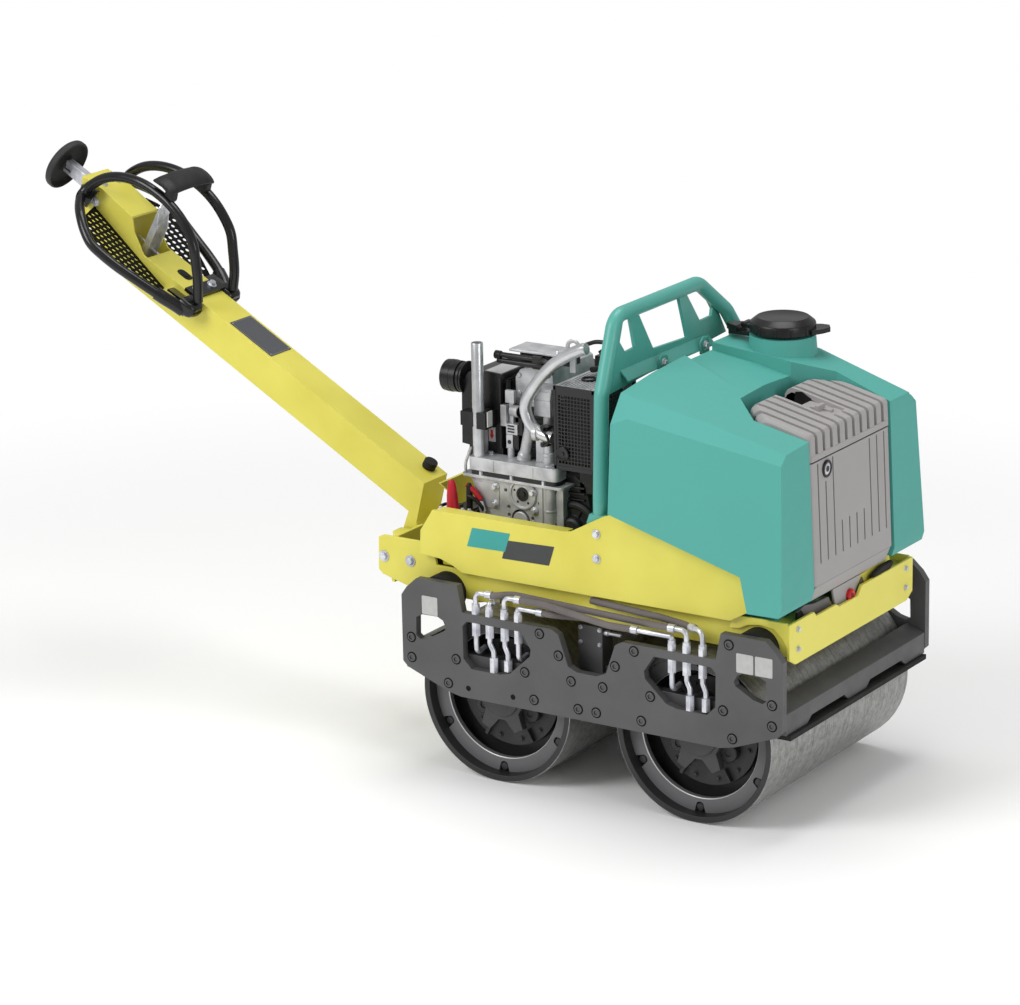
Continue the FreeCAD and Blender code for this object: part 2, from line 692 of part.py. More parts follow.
def tank_boss():
    """The raised corner of the tank under the filler cap."""
    shape = block(("tank_rear", "117", "tank_top - 117"), ("tank_front", "290", "tank_top + 20"))
    inside = ("tank_rear + 90", "200", "tank_top - 90")
    roof = (("tank_rear", "0", "tank_top + 11"), ("tank_rear", "100", "tank_top + 11"),
            ("tank_rear + 204", "0", "tank_top - 9"))
    fall = (("tank_rear + 204", "0", "tank_top - 9"), ("tank_rear + 204", "100", "tank_top - 9"),
            ("tank_front - 4", "0", "tank_top - 90"))
    edge = (("tank_rear", "tank_half_width - 68", "tank_top + 11"),
            ("tank_front", "tank_half_width - 61", "tank_top - 91"),
            ("tank_rear", "tank_half_width - 30", "tank_top - 40"))
    for plane in (roof, fall, edge):
        shape = trimmed(shape, *plane, inside)
    return shape


def water_tank():
    """The tank as one solid, with the front opening for the grey unit and the filler neck."""
    shape = block(("tank_rear", "-tank_half_width - 10", "tank_bottom"),
                  ("tank_front + 17", "tank_half_width + 10", "tank_top + 10"))
    inside = ("250", "0", "700")
    face = (("tank_front", "0", "888"), ("tank_front", "100", "888"),
            ("tank_front + 16", "0", "tank_bottom"))
    chin = (("tank_front + 16", "0", "tank_bottom + 24"), ("tank_front + 16", "9", "tank_bottom + 24"),
            ("tank_front + 8", "0", "tank_bottom"))
    shape = trimmed(shape, *face, inside)
    shape = trimmed(shape, *chin, inside)
    shape = tank_half(tank_half(shape, "-1"), "1")
    level = "tank_top - 7 - 0.147"
    dip = prism([("tank_rear - 8", "-2", f"{level}*(-8)"), ("tank_rear + 160", "-63", f"{level}*160"),
                 ("tank_rear + 204", "-110", f"{level}*204"), ("tank_rear + 204", "117", f"{level}*204"),
                 ("tank_rear - 8", "117", f"{level}*(-8)")], ("0", "0", "90"))
    shape = shape.cut(dip).fuse(tank_boss())
    wide = "recess_half_width"
    floor = "tank_top - 127"
    recess = prism([("tank_rear + 204", "-110", floor), ("tank_rear + 204", "115", floor),
                    ("tank_rear + 284", wide, floor), ("tank_front + 60", wide, floor),
                    ("tank_front + 60", f"-{wide}", floor),
                    ("tank_rear + 284", f"-{wide}", floor)], ("0", "0", "200"))
    front = block(("tank_front - 30", f"-{wide}", "tank_bottom - 5"), ("tank_front + 60", wide, "tank_top"))
    shape = shape.cut(recess).cut(front)
    skirt = [("tank_rear - 20", "0", "tank_bottom - 21"), ("plate_end - 93", "0", "tank_bottom - 21"),
             ("plate_end - 93", "0", "tank_bottom"), ("plate_end - 113", "0", "tank_bottom + 79"),
             ("tank_rear", "0", "peak_height + 16"), ("tank_rear - 20", "0", "peak_height + 22")]
    for offset, sweep in (("rail_out + 2", "120"), ("-rail_out - 2", "-120")):
        edge = prism([(a, offset, c) for a, _, c in skirt], ("0", sweep, "0"))
        shape = shape.cut(edge)
    foot = block(("tank_rear + 22", "-250", "deck_height + deck_thickness"),
                 ("tank_front - 50", "250", "tank_bottom"))
    centre = Vec(mm("cap_along"), mm("cap_across"), mm("neck_top - 90"))
    neck = Part.makeCone(mm("cap_radius + 8"), mm("cap_radius"), 90, centre, Vec(0, 0, 1))
    shape = shape.fuse(foot).fuse(neck).removeSplitter()
    keep_shape("water_tank", shape, "upper_lift")


def filler():
    """The black cap with its latch, and the fixed hinge tab behind it."""
    lid = new_body("filler_lid", "cap_along", "cap_across", "neck_top + upper_lift")
    pad(lid, "XY", "5", "31", (), [("0", "0", "cap_radius")])
    pad(lid, "XY", "31", "42", (), [("0", "0", "cap_radius - 15")])
    latch = [("cap_radius - 20", "-5"), ("cap_radius + 5", "-10"), ("cap_radius + 26", "40"),
             ("cap_radius + 12", "62"), ("cap_radius - 30", "50")]
    pad(lid, "XY", "5", "14", [latch])
    ear = [("-cap_radius - 26", "-16"), ("-cap_radius + 30", "-26"), ("-cap_radius + 30", "26"),
           ("-cap_radius - 26", "16")]
    pad(lid, "XY", "5", "15", [ear])

    hinge = new_body("filler_hinge", "cap_along", "cap_across", "neck_top + upper_lift")
    tab = [("-cap_radius - 67", "-9"), ("-cap_radius - 32", "-26"), ("-cap_radius - 32", "26"),
           ("-cap_radius - 67", "9")]
    pad(hinge, "XY", "-4", "10", [tab])
    pad(hinge, "XY", "-14", "-4", [box_outline("-cap_radius - 60", "-cap_radius - 1.5", "-14", "14")])


def front_unit():
    """The finned grille, the door under it and the fixed sill, all in the tank's opening."""
    grille = upper_body("front_grille")
    side = [("tank_front - 30", "door_top + 5"), ("tank_front + 2", "door_top + 5"),
            ("tank_front - 1", "887"), ("tank_front - 12", "896"), ("tank_front - 150", "929"),
            ("tank_front - 176", "928"), ("tank_front - 186", "914"), ("tank_front - 186", "850"),
            ("tank_front - 30", "850")]
    pad(grille, "XZ", "-door_half", "door_half", [side])
    well = [("tank_front - 190", "-28"), ("tank_front - 92", "-28"), ("tank_front - 80", "-16"),
            ("tank_front - 80", "16"), ("tank_front - 92", "28"), ("tank_front - 190", "28")]
    pocket(grille, "XY", "888", "940", [well])
    corners = [[("tank_front - 190", "door_half + 2"), ("tank_front - 190", "door_half - 62"),
                ("tank_front - 132", "door_half + 2")],
               [("tank_front - 190", "-door_half - 2"), ("tank_front - 190", "-door_half + 62"),
                ("tank_front - 132", "-door_half - 2")]]
    pocket(grille, "XY", "849", "940", corners)

    door = new_body("front_door", "tank_front", "0", "upper_lift")
    panel = [("3", "door_top"), ("15", "door_bottom"), ("15 - door_thickness", "door_bottom"),
             ("3 - door_thickness", "door_top")]
    pad(door, "XZ", "-door_half", "door_half - 4", [panel])

    back = upper_body("front_backing")
    pad(back, "XY", "tank_bottom", "door_top + 5",
        [box_outline("tank_front - 30", "tank_front - 16", "-door_half", "door_half")])

    sill = upper_body("front_sill")
    profile = [("tank_front - 16", "tank_bottom"), ("tank_front - 16", "door_bottom - 5"),
               ("tank_front + 12", "door_bottom - 5"), ("tank_front - 2", "tank_bottom - 8"),
               ("tank_front - 10", "tank_bottom - 8")]
    pad(sill, "XZ", "-door_half + 8", "door_half - 8", [profile])
    plate = [("-75", "tank_bottom + 6"), ("74", "tank_bottom + 6"), ("24", "tank_bottom - 57"),
             ("-56", "tank_bottom - 57")]
    pad(sill, "YZ", "tank_front - 10", "tank_front - 3", [plate])


# ---------------------------------------------------------------- roll bar
def roll_bar():
    """The bent tube over the engine with its perforated gusset, lugs and bolted feet."""
    near = [("-1", "-rail_out + 4", "600"), ("-1", "-rail_out + 4", "700"),
            ("-14", "-bar_half_width - 67", "bar_height - 165"),
            ("-18", "-bar_half_width", "bar_height"), ("-18", "bar_half_width", "bar_height"),
            ("4", "bar_half_width + 92", "bar_height - 80"), ("17", "rail_out + 15", "bar_height - 130"),
            ("6", "rail_out - 4", "700"), ("6", "rail_out - 4", "600")]
    bar = tube(near, "bar_tube", "45")
    web = prism([("-18", "-bar_half_width - 38", "bar_height - 71"),
                 ("-18", "-bar_half_width - 64", "bar_height - 172"),
                 ("-18", "bar_half_width + 117", "bar_height - 140"),
                 ("-18", "bar_half_width + 60", "bar_height - 50"),
                 ("-18", "bar_half_width", "bar_height"), ("-18", "-bar_half_width", "bar_height")],
                ("8", "0", "0"))
    holes = [[(-152, -89), (-110, -87), (-132, -10), (-160, -14), (-176, -60)],
             [(-95, -10), (-30, -108), (121, -115), (84, -10)],
             [(118, -10), (180, -89), (233, -88), (237, -71), (196, -20)]]
    for hole in holes:
        window = prism([("-30", a, f"bar_height + ({b})") for a, b in hole], ("40", "0", "0"))
        web = web.cut(window)
    solid = bar.fuse(web)
    for side in ("-1", "1"):
        out = f"{side}*panel_in"
        foot = prism([("-27", f"{side}*(rail_in - 6)", "492"), ("27", f"{side}*(rail_in - 6)", "492"),
                      ("27", f"{side}*(rail_in - 6)", "655"), ("18", f"{side}*(rail_in - 6)", "674"),
                      ("-20", f"{side}*(rail_in - 6)", "674"), ("-27", f"{side}*(rail_in - 6)", "655")],
                     ("0", f"{side}*(panel_in - rail_in + 5.5)", "0"))
        solid = solid.fuse(foot)
    keep_shape("roll_bar", solid.removeSplitter(), "upper_lift")


# ---------------------------------------------------------------- engine
def engine_block():
    """The crankcase, cylinder and head, as one plain mass under the covers."""
    body = upper_body("engine_block")
    deck = "deck_height + deck_thickness"
    crank = [("-350", deck), ("-165", deck), ("-165", "683"), ("-402", "683"), ("-381", "631"),
             ("-364", "578")]
    pad(body, "XZ", "-engine_face + 10", "150", [crank])
    cylinder = [("-330", "683"), ("-180", "683"), ("-180", "845"), ("-322", "845")]
    pad(body, "XZ", "-130", "90", [cylinder])
    head = [("-326", "845"), ("-205", "845"), ("-225", "941"), ("-324", "915")]
    pad(body, "XZ", "-120", "60", [head])
    plate = [("-408", "675"), ("-385", "631"), ("-368", "578"), ("-362", "540"), ("-203", "540"),
             ("-195", "683"), ("-408", "683")]
    pad(body, "XZ", "-engine_face", "-engine_face + 10", [plate])
    pad(body, "XZ", "-engine_face - 12", "-engine_face", (), [("-272", "657", "26"),
                                                               ("-271", "594", "20")])


def engine_covers():
    """The cast cover over the gears, the air filter, the silencer guard and the fan cowl."""
    cover = upper_body("gear_cover")
    pad(cover, "XZ", "-engine_face - 12", "-130", [box_outline("-430", "-154", "683", "697")])
    pad(cover, "XZ", "-engine_face - 12", "-150", [box_outline("-411", "-167", "697", "731")])
    soften(cover, "15", [("-167", "-engine_face - 12", "714"), ("-411", "-engine_face - 12", "714")])

    case = upper_body("air_filter")
    pad(case, "XZ", "-150", "-14", [[("-438", "697"), ("-345", "697"), ("-345", "921"), ("-394", "924"),
                                     ("-436", "917"), ("-456", "890"), ("-458", "744"), ("-438", "742")]])
    pad(case, "YZ", "-509", "-452", (), [("-128", "896", "33")])
    pad(case, "YZ", "-509", "-470", (), [("-128", "896", "37")])

    guard = upper_body("exhaust_guard")
    pad(guard, "XZ", "-230", "-50", [[("-155", "744"), ("-54", "744"), ("-46", "939"), ("-152", "939")]])
    pad(guard, "XZ", "-50", "40", [box_outline("-180", "-70", "770", "900")])
    pad(guard, "XZ", "-200", "-60", [box_outline("-140", "-66", "667", "744")])
    pad(guard, "XZ", "-170", "-60", [box_outline("-165", "-140", "667", "682")])

    cowl = upper_body("engine_cowl")
    inner = [("-324", "915"), ("-225", "941"), ("-190", "941"), ("-190", "976"), ("-324", "976")]
    pad(cowl, "XZ", "-134", "-60", [inner])
    lid = [("-331", "-140"), ("-178", "-140"), ("-192", "-60"), ("-331", "-60")]
    pad(cowl, "XY", "976", "983", [lid])
    fan = upper_body("fan_cowl")
    pad(fan, "XZ", "90", "150", [box_outline("-322", "-165", "688", "900")])


def engine_pipes():
    """The bent pipe over the engine and the upright one beside the air filter."""
    route = [("-70", "-200", "1004"), ("-98", "-200", "1015"), ("-152", "-200", "987"),
             ("-246", "-200", "925"), ("-262", "-200", "840"), ("-228", "-200", "812"),
             ("-160", "-200", "811")]
    keep_shape("breather_pipe", tube(route, "14", "40").fuse(
        rod(("-262", "-200", "845"), ("-262", "-130", "845"), "10")), "upper_lift")
    stand = upper_body("stand_pipe")
    pad(stand, "XY", "731", "1000", (), [("-388", "-185", "14")])
    pad(stand, "XY", "803", "836", [box_outline("-428", "-360", "-178", "-150")])


def battery():
    """The battery under the bulkhead side, with its guarded red terminal."""
    body = upper_body("battery")
    deck = "deck_height + deck_thickness"
    pad(body, "XY", deck, "598", [box_outline("-470", "-404", "-262", "-110")])
    pad(body, "XY", "598", "681", (), [("-434", "-220", "12")])
    pad(body, "XY", "598", "612", [box_outline("-466", "-450", "-250", "-232")])


# ---------------------------------------------------------------- hydraulics
def hex_nut(along, across, low, high):
    """A six-sided nut standing on end between two heights."""
    points = []
    for corner in range(6):
        angle = math.radians(60 * corner)
        reach = mm("fitting_radius")
        points.append((f"{along} + {reach * math.cos(angle):.3f}",
                       f"{across} + {reach * math.sin(angle):.3f}", low))
    return prism(points, ("0", "0", f"({high}) - ({low})"))


def upper_fitting(along, end, inward, height):
    """A nut on the plate's top edge with a bent end, which leads a hose away to the end point."""
    across = "-(plate_in + plate_out)/2"
    nut = hex_nut(along, across, "plate_top", "plate_top + 17")
    collar = rod((along, across, "plate_top + 17"), (along, across, "plate_top + 24"), "9")
    elbow = tube([(along, across, "plate_top + 20"), (along, across, height),
                  (end, f"{across} + {inward}", height)], "pipe_radius", "20")
    corner = Vec(mm(along), mm(across), mm(height))
    last = Vec(mm(end), mm(f"{across} + {inward}"), mm(height))
    way = (last - corner).normalize()
    ferrule = Part.makeCylinder(mm("hose_radius + 1.5"), 16, last - way * 14, way)
    return nut.fuse(collar).fuse(elbow).fuse(ferrule).removeSplitter()


def straight_line(along, shift, foot):
    """The short pipe below the bridge of a plate window, down to a nut at the window's foot."""
    across = "-(plate_in + plate_out)/2"
    lower = f"{along} + {shift}"
    nut = hex_nut(along, across, "plate_top - 52", "plate_top - 20")
    pipe = tube([(along, across, "plate_top - 50"), (along, across, "plate_top - 66"),
                 (lower, across, "plate_top - 84"), (lower, across, "plate_top - 100")],
                "pipe_radius", "14")
    end = hex_nut(lower, across, f"plate_top - {foot}", "plate_top - 98")
    return nut.fuse(pipe).fuse(end).removeSplitter()


def bent_line(along):
    """The pipe that turns inwards from the window, to the motor inside the drum."""
    across = "-(plate_in + plate_out)/2"
    nut = hex_nut(along, across, "plate_top - 52", "plate_top - 20")
    pipe = tube([(along, across, "plate_top - 50"), (along, across, "plate_top - 96"),
                 (along, "-plate_in + 26", "plate_top - 90")], "pipe_radius", "16")
    return nut.fuse(pipe).removeSplitter()


def hydraulics():
    """The lines that pass each side plate, the hoses that leave them and the valve block."""
    rear = "-axle_along"
    front = "axle_along"
    across = "-(plate_in + plate_out)/2"
    high = "plate_top + 51"
    low = "plate_top + 31"
    solids = [upper_fitting(f"{rear} - 41", f"{rear} + 2", "0", high),
              upper_fitting(f"{rear} - 4", f"{rear} + 2", "22", "plate_top + 31"),
              upper_fitting(f"{rear} + 37", f"{rear} + 80", "0", high),
              upper_fitting(f"{rear} + 74", f"{rear} + 140", "0", low),
              upper_fitting(f"{front} - 45", f"{front} - 147", "0", low),
              upper_fitting(f"{front} - 7", f"{front} - 50", "0", high),
              upper_fitting(f"{front} + 34", f"{front} - 4", "14", "plate_top + 56")]
    solids += [bent_line(f"{rear} - 41"), bent_line(f"{rear} + 74"), bent_line(f"{front} - 45")]
    solids += [straight_line(f"{rear} - 4", "10", "133"), straight_line(f"{rear} + 37", "8", "124"),
               straight_line(f"{front} - 7", "8", "133"), straight_line(f"{front} + 34", "8", "129")]
    solids += [across_mirror(solid) for solid in solids]
    keep_shape("hydraulic_fittings", Part.makeCompound(solids))

    start = f"{rear} + 4.3"
    end = f"{front} - 52.3"
    upper = [(start, across, high), (f"{start} + 6", across, high),
             (f"{start} + 38", f"{across} + 26", "plate_top + 52"),
             (f"{end} - 80", f"{across} + 22", "plate_top + 43"),
             (f"{end} - 26", across, high), (end, across, high)]
    start = f"{rear} + 82.3"
    end = f"{front} - 149.3"
    crossing = [(start, across, high), (f"{start} + 60", across, "plate_top + 51"),
                (f"{end} - 60", across, "plate_top + 30"), (end, across, low)]
    top = "plate_top + 56"
    third = [(f"{front} - 6.3", f"{across} + 14.9", top), (f"{front} - 34", f"{across} + 25", top),
             (f"{front} - 90", f"{across} + 30", "plate_top + 60"),
             ("40", "-rail_out - 16", "plate_top + 64"), ("-20", "-rail_out - 8.5", "plate_top + 64")]
    fourth = [(f"{rear} + 142.3", across, low), (f"{rear} + 160", across, "plate_top + 30"),
              (f"{rear} + 215", "-rail_out - 7", "plate_top + 18")]
    second = [(f"{rear} + 3", f"{across} + 25", "plate_top + 31"),
              (f"{rear} + 14", "-rail_out - 4", "plate_top + 31")]
    hoses = [tube(points, "hose_radius", "55") for points in (upper, crossing, third, fourth, second)]
    hoses += [across_mirror(hose) for hose in hoses]
    keep_shape("hydraulic_hoses", Part.makeCompound(hoses))

    valve = new_body("valve_block")
    for _, sign in SIDES:
        side_pad(valve, sign, "235", "280",
                 [box_outline("-66", "-1", "plate_bottom + 92", "plate_top - 2")])
        side_pad(valve, sign, "235", "270",
                 [box_outline("-42", "42", "plate_bottom + 92", "plate_bottom + 110")])


# ---------------------------------------------------------------- the whole machine
for side_name, side_sign in SIDES:
    side_plate(side_name, side_sign)
scrapers()
centre_beam()
axle_carriers()
drum_pieces("front", "axle_along")
drum_pieces("rear", "-axle_along")
rubber_mounts()
chassis_rails()
for side_name, side_sign in SIDES:
    chassis_panel(side_name, side_sign)
front_bumper()
rear_frame()
engine_deck()
drawbar_beam()
handle_loops()
handle_clamp()
handle_fittings()
water_tank()
filler()
front_unit()
roll_bar()
engine_block()
engine_covers()
engine_pipes()
battery()
hydraulics()
doc.recompute()

for thing in doc.Objects:
    if "Invalid" in thing.State or "Error" in thing.State:
        raise RuntimeError(thing.Name + " did not build")
for part in PARTS:
    if part.Shape.isNull() or not part.Shape.isValid():
        raise RuntimeError(part.Label + " has no valid shape")

os.makedirs("parts", exist_ok=True)
for part in PARTS:
    part.Shape.exportStep(f"parts/{part.Label}.step")
    print(part.Label, len(part.Shape.Solids), round(part.Shape.Volume / 1000))
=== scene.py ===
import json
import math

import bmesh
import bpy
from mathutils import Matrix, Vector, geometry


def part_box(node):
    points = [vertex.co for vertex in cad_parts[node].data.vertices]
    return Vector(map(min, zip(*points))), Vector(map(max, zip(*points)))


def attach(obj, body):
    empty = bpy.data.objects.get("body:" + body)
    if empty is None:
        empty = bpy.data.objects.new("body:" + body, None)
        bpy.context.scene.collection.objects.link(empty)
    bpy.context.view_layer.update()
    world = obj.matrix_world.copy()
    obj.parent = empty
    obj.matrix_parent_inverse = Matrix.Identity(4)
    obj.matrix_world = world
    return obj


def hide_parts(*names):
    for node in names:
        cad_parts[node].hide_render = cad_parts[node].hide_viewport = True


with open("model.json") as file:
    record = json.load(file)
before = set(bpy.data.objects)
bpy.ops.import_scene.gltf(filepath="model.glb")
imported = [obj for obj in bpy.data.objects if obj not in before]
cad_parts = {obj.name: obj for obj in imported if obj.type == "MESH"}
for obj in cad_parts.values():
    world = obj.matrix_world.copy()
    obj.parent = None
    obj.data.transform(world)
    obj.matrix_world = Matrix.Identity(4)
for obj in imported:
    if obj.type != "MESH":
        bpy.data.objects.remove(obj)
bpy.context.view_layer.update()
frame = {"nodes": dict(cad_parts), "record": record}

# ---------------------------------------------------------------- studio
# A pale matt floor that runs out of sight, with large soft lamps overhead. The floor takes
# the soft shadow under the drums and is plain white everywhere else.


def colour(hex_text):
    """A written sRGB colour as the linear values that shaders take."""
    parts = [int(hex_text[i:i + 2], 16) / 255 for i in (1, 3, 5)]
    return [c / 12.92 if c <= 0.04045 else ((c + 0.055) / 1.055) ** 2.4 for c in parts] + [1]


def add(tree, kind, sockets=None, **settings):
    """Adds a node with its settings, and gives each named socket a value or a link."""
    node = tree.nodes.new(kind)
    for name, value in settings.items():
        setattr(node, name, value)
    for socket, source in (sockets or {}).items():
        if isinstance(source, bpy.types.NodeSocket):
            tree.links.new(source, node.inputs[socket])
        else:
            node.inputs[socket].default_value = source
    return node


def new_material(name, base, roughness, metallic=0.0, slot=""):
    """A material with its plain values set, its node tree and its shader."""
    made = bpy.data.materials.new(name)
    made.use_nodes = True
    made["slot"] = slot
    shader = made.node_tree.nodes["Principled BSDF"]
    shader.inputs["Base Color"].default_value = colour(base)
    shader.inputs["Roughness"].default_value = roughness
    shader.inputs["Metallic"].default_value = metallic
    return made, made.node_tree, shader


scene = bpy.context.scene
scene.view_settings.view_transform = "Standard"

SKY_LEVEL = 0.45
world = bpy.data.worlds.new("studio")
scene.world = world
world.use_nodes = True
world_tree = world.node_tree
sky = world_tree.nodes["Background"]
sky.inputs["Color"].default_value = colour("#FFFFFF")
sky.inputs["Strength"].default_value = SKY_LEVEL
seen = add(world_tree, "ShaderNodeBackground", {"Color": colour("#FFFFFF"), "Strength": 1.0})
path = add(world_tree, "ShaderNodeLightPath")
direct = add(world_tree, "ShaderNodeMath",
             {0: path.outputs["Is Camera Ray"], 1: path.outputs["Is Transmission Ray"]},
             operation="MAXIMUM")
either = add(world_tree, "ShaderNodeMixShader",
             {0: direct.outputs[0], 1: sky.outputs[0], 2: seen.outputs[0]})
world_tree.links.new(either.outputs[0], world_tree.nodes["World Output"].inputs["Surface"])

FLOOR_SIZE = 60
CLEAR_FROM, CLEAR_BY = 1.5, 3.2
floor_mesh = bmesh.new()
bmesh.ops.create_grid(floor_mesh, x_segments=8, y_segments=8, size=FLOOR_SIZE / 2)
floor_data = bpy.data.meshes.new("studio_floor")
floor_mesh.to_mesh(floor_data)
floor = bpy.data.objects.new("studio_floor", floor_data)
scene.collection.objects.link(floor)
matt_floor, tree, shader = new_material("matt_studio_floor", "#FFFFFF", 0.95)
shader.inputs["Specular IOR Level"].default_value = 0.1
place = add(tree, "ShaderNodeTexCoord").outputs["Object"]
reach = add(tree, "ShaderNodeVectorMath", {0: place}, operation="LENGTH")
far = add(tree, "ShaderNodeMapRange",
          {"Value": reach.outputs["Value"], "From Min": CLEAR_FROM, "From Max": CLEAR_BY},
          interpolation_type="SMOOTHSTEP")
ray = add(tree, "ShaderNodeLightPath")
plain = add(tree, "ShaderNodeMath",
            {0: far.outputs["Result"], 1: ray.outputs["Is Camera Ray"]}, operation="MULTIPLY")
white = add(tree, "ShaderNodeEmission", {"Color": colour("#FFFFFF"), "Strength": 1.0})
blend = add(tree, "ShaderNodeMixShader",
            {0: plain.outputs[0], 1: shader.outputs[0], 2: white.outputs[0]})
tree.links.new(blend.outputs[0], tree.nodes["Material Output"].inputs["Surface"])
floor_data.materials.append(matt_floor)


def soft_lamp(name, spot, aim, size, power):
    """A large square lamp that points at a spot."""
    light = bpy.data.lights.new(name, "AREA")
    light.size = size
    light.energy = power
    made = bpy.data.objects.new(name, light)
    scene.collection.objects.link(made)
    made.location = spot
    made.rotation_euler = (Vector(spot) - Vector(aim)).to_track_quat("Z", "Y").to_euler()


soft_lamp("key_lamp", (-2.2, -5.2, 4.6), (0.2, 0, 0.5), 3.0, 215)
soft_lamp("top_lamp", (0.5, 0.8, 6.0), (0.2, 0, 0.4), 3.0, 134)
soft_lamp("front_lamp", (5.5, -1.6, 2.2), (0.4, 0, 0.6), 2.0, 50)

CAMERA_AIM = Vector((0.208, -0.005, 0.566))
CAMERA_AWAY = 9.324
BEARING, HEIGHT, LEAN = (math.radians(a) for a in (33.25, 16.53, -1.113))
away = Vector((math.sin(BEARING) * math.cos(HEIGHT), -math.cos(BEARING) * math.cos(HEIGHT),
               math.sin(HEIGHT)))
camera_data = bpy.data.cameras.new("camera")
camera_data.sensor_width = 36
camera_data.lens = 139.38
camera = bpy.data.objects.new("camera", camera_data)
scene.collection.objects.link(camera)
camera.location = CAMERA_AIM + away * CAMERA_AWAY
turned = away.to_track_quat("Z", "Y").to_matrix() @ Matrix.Rotation(LEAN, 3, "Z")
camera.rotation_euler = turned.to_euler()
scene.camera = camera

# ---------------------------------------------------------------- drum shells
# Two shells of thick rolled steel plate with a web welded in near each end. The ground keeps
# the outer face bare and brushed, and the inside is painted.


def box_mm(node):
    """The lowest and highest corner of a CAD node, in millimetres."""
    low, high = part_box(node)
    return Vector(low) * 1000, Vector(high) * 1000


def dress(names, material, edge=0.0):
    """Gives CAD nodes their material, and eases their edges by so many millimetres."""
    for name in names:
        thing = frame["nodes"][name]
        thing.material_slots[0].material = material
        if not edge:
            continue
        weld = thing.modifiers.new("weld", "WELD")
        weld.merge_threshold = 0.00001
        plane = thing.modifiers.new("plane", "DECIMATE")
        plane.decimate_type = "DISSOLVE"
        plane.angle_limit = math.radians(1)
        ease = thing.modifiers.new("ease", "BEVEL")
        ease.width = edge / 1000
        ease.segments = 2
        ease.limit_method = "ANGLE"
        ease.angle_limit = math.radians(28)
        even = thing.modifiers.new("even", "WEIGHTED_NORMAL")
        even.keep_sharp = False


def piece(name, mesh, materials, body, matrix=None, edge=0.0, segments=2):
    """Makes a finished mesh in millimetres into a piece that rides on a body."""
    bmesh.ops.recalc_face_normals(mesh, faces=mesh.faces)
    mesh.transform(Matrix.Scale(0.001, 4) @ (matrix or Matrix()))
    data = bpy.data.meshes.new(name)
    mesh.to_mesh(data)
    mesh.free()
    data.shade_smooth()
    data.set_sharp_from_angle(angle=math.radians(32))
    made = bpy.data.objects.new(name, data)
    scene.collection.objects.link(made)
    for material in materials if isinstance(materials, list) else [materials]:
        data.materials.append(material)
    if edge:
        ease = made.modifiers.new("ease", "BEVEL")
        ease.width = edge / 1000
        ease.segments = segments
        ease.limit_method = "ANGLE"
        ease.harden_normals = True
    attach(made, body)
    return made


def lathe(mesh, profile, spot, axis, steps=24, finish=0):
    """Turns a profile of (radius, height) points about an axis through a spot."""
    turn = Matrix.Translation(spot) @ Vector(axis).to_track_quat("Z", "Y").to_matrix().to_4x4()
    rings = []
    for radius, height in profile:
        angles = [math.tau * k / steps for k in range(steps if radius else 1)]
        rings.append([mesh.verts.new(turn @ Vector((radius * math.cos(a), radius * math.sin(a),
                                                    height))) for a in angles])
    for low, high in zip(rings, rings[1:]):
        for k in range(steps):
            around = [low[k % len(low)], low[(k + 1) % len(low)], high[(k + 1) % len(high)],
                      high[k % len(high)]]
            mesh.faces.new(list(dict.fromkeys(around))).material_index = finish


def prism(mesh, outline, sweep, finish=0):
    """Sweeps a flat outline along a vector into a closed solid."""
    base = [mesh.verts.new(Vector(p)) for p in outline]
    top = [mesh.verts.new(Vector(p) + Vector(sweep)) for p in outline]
    faces = [mesh.faces.new(base), mesh.faces.new(top)]
    for k in range(len(base)):
        m = (k + 1) % len(base)
        faces.append(mesh.faces.new((base[k], base[m], top[m], top[k])))
    for face in faces:
        face.material_index = finish


front_low, front_high = box_mm("front_drum")
rear_low, rear_high = box_mm("rear_drum")
DRUM_RADIUS = (front_high.z - front_low.z) / 2
AXLES = {"front_drum": (front_low.x + front_high.x) / 2, "rear_drum": (rear_low.x + rear_high.x) / 2}
MIDDLE = sum(AXLES.values()) / 2
SPAN = AXLES["front_drum"] - MIDDLE

# Brushed rolled steel: a bright bare face with fine streaks round the drum and a faint dusty
# mottle. The streaks are about 140 mm long and 2.4 mm apart, wider than the real scratches so
# that they show, and the mottle's spots are about 14 mm. Below the face it is painted dark.
STREAKS, MOTTLE = (7, 420, 7), 70.0
BARE_DEEP = 1.6
drum_steel, tree, shader = new_material("brushed_rolled_steel", "#8E8E8C", 0.42, 1.0, "drum_steel")
place = add(tree, "ShaderNodeTexCoord").outputs["Object"]
axes = add(tree, "ShaderNodeSeparateXYZ", {0: place})
across = add(tree, "ShaderNodeMath", {0: axes.outputs["X"], 1: MIDDLE / 1000}, operation="SUBTRACT")
side = add(tree, "ShaderNodeMath", {0: across.outputs[0]}, operation="ABSOLUTE")
along = add(tree, "ShaderNodeMath", {0: side.outputs[0], 1: SPAN / 1000}, operation="SUBTRACT")
rise = add(tree, "ShaderNodeMath", {0: axes.outputs["Z"], 1: DRUM_RADIUS / 1000}, operation="SUBTRACT")
spoke = add(tree, "ShaderNodeCombineXYZ", {"X": along.outputs[0], "Z": rise.outputs[0]})
radius = add(tree, "ShaderNodeVectorMath", {0: spoke.outputs[0]}, operation="LENGTH")
bare = add(tree, "ShaderNodeMath", {0: radius.outputs["Value"], 1: (DRUM_RADIUS - BARE_DEEP) / 1000},
           operation="GREATER_THAN")
streak_at = add(tree, "ShaderNodeVectorMath", {0: place, 1: STREAKS}, operation="MULTIPLY")
streak = add(tree, "ShaderNodeTexNoise", {"Vector": streak_at.outputs[0], "Scale": 1.0, "Detail": 5.0,
                                          "Roughness": 0.65})
mottle = add(tree, "ShaderNodeTexNoise",
             {"Vector": place, "Scale": MOTTLE, "Detail": 8.0, "Roughness": 0.7})
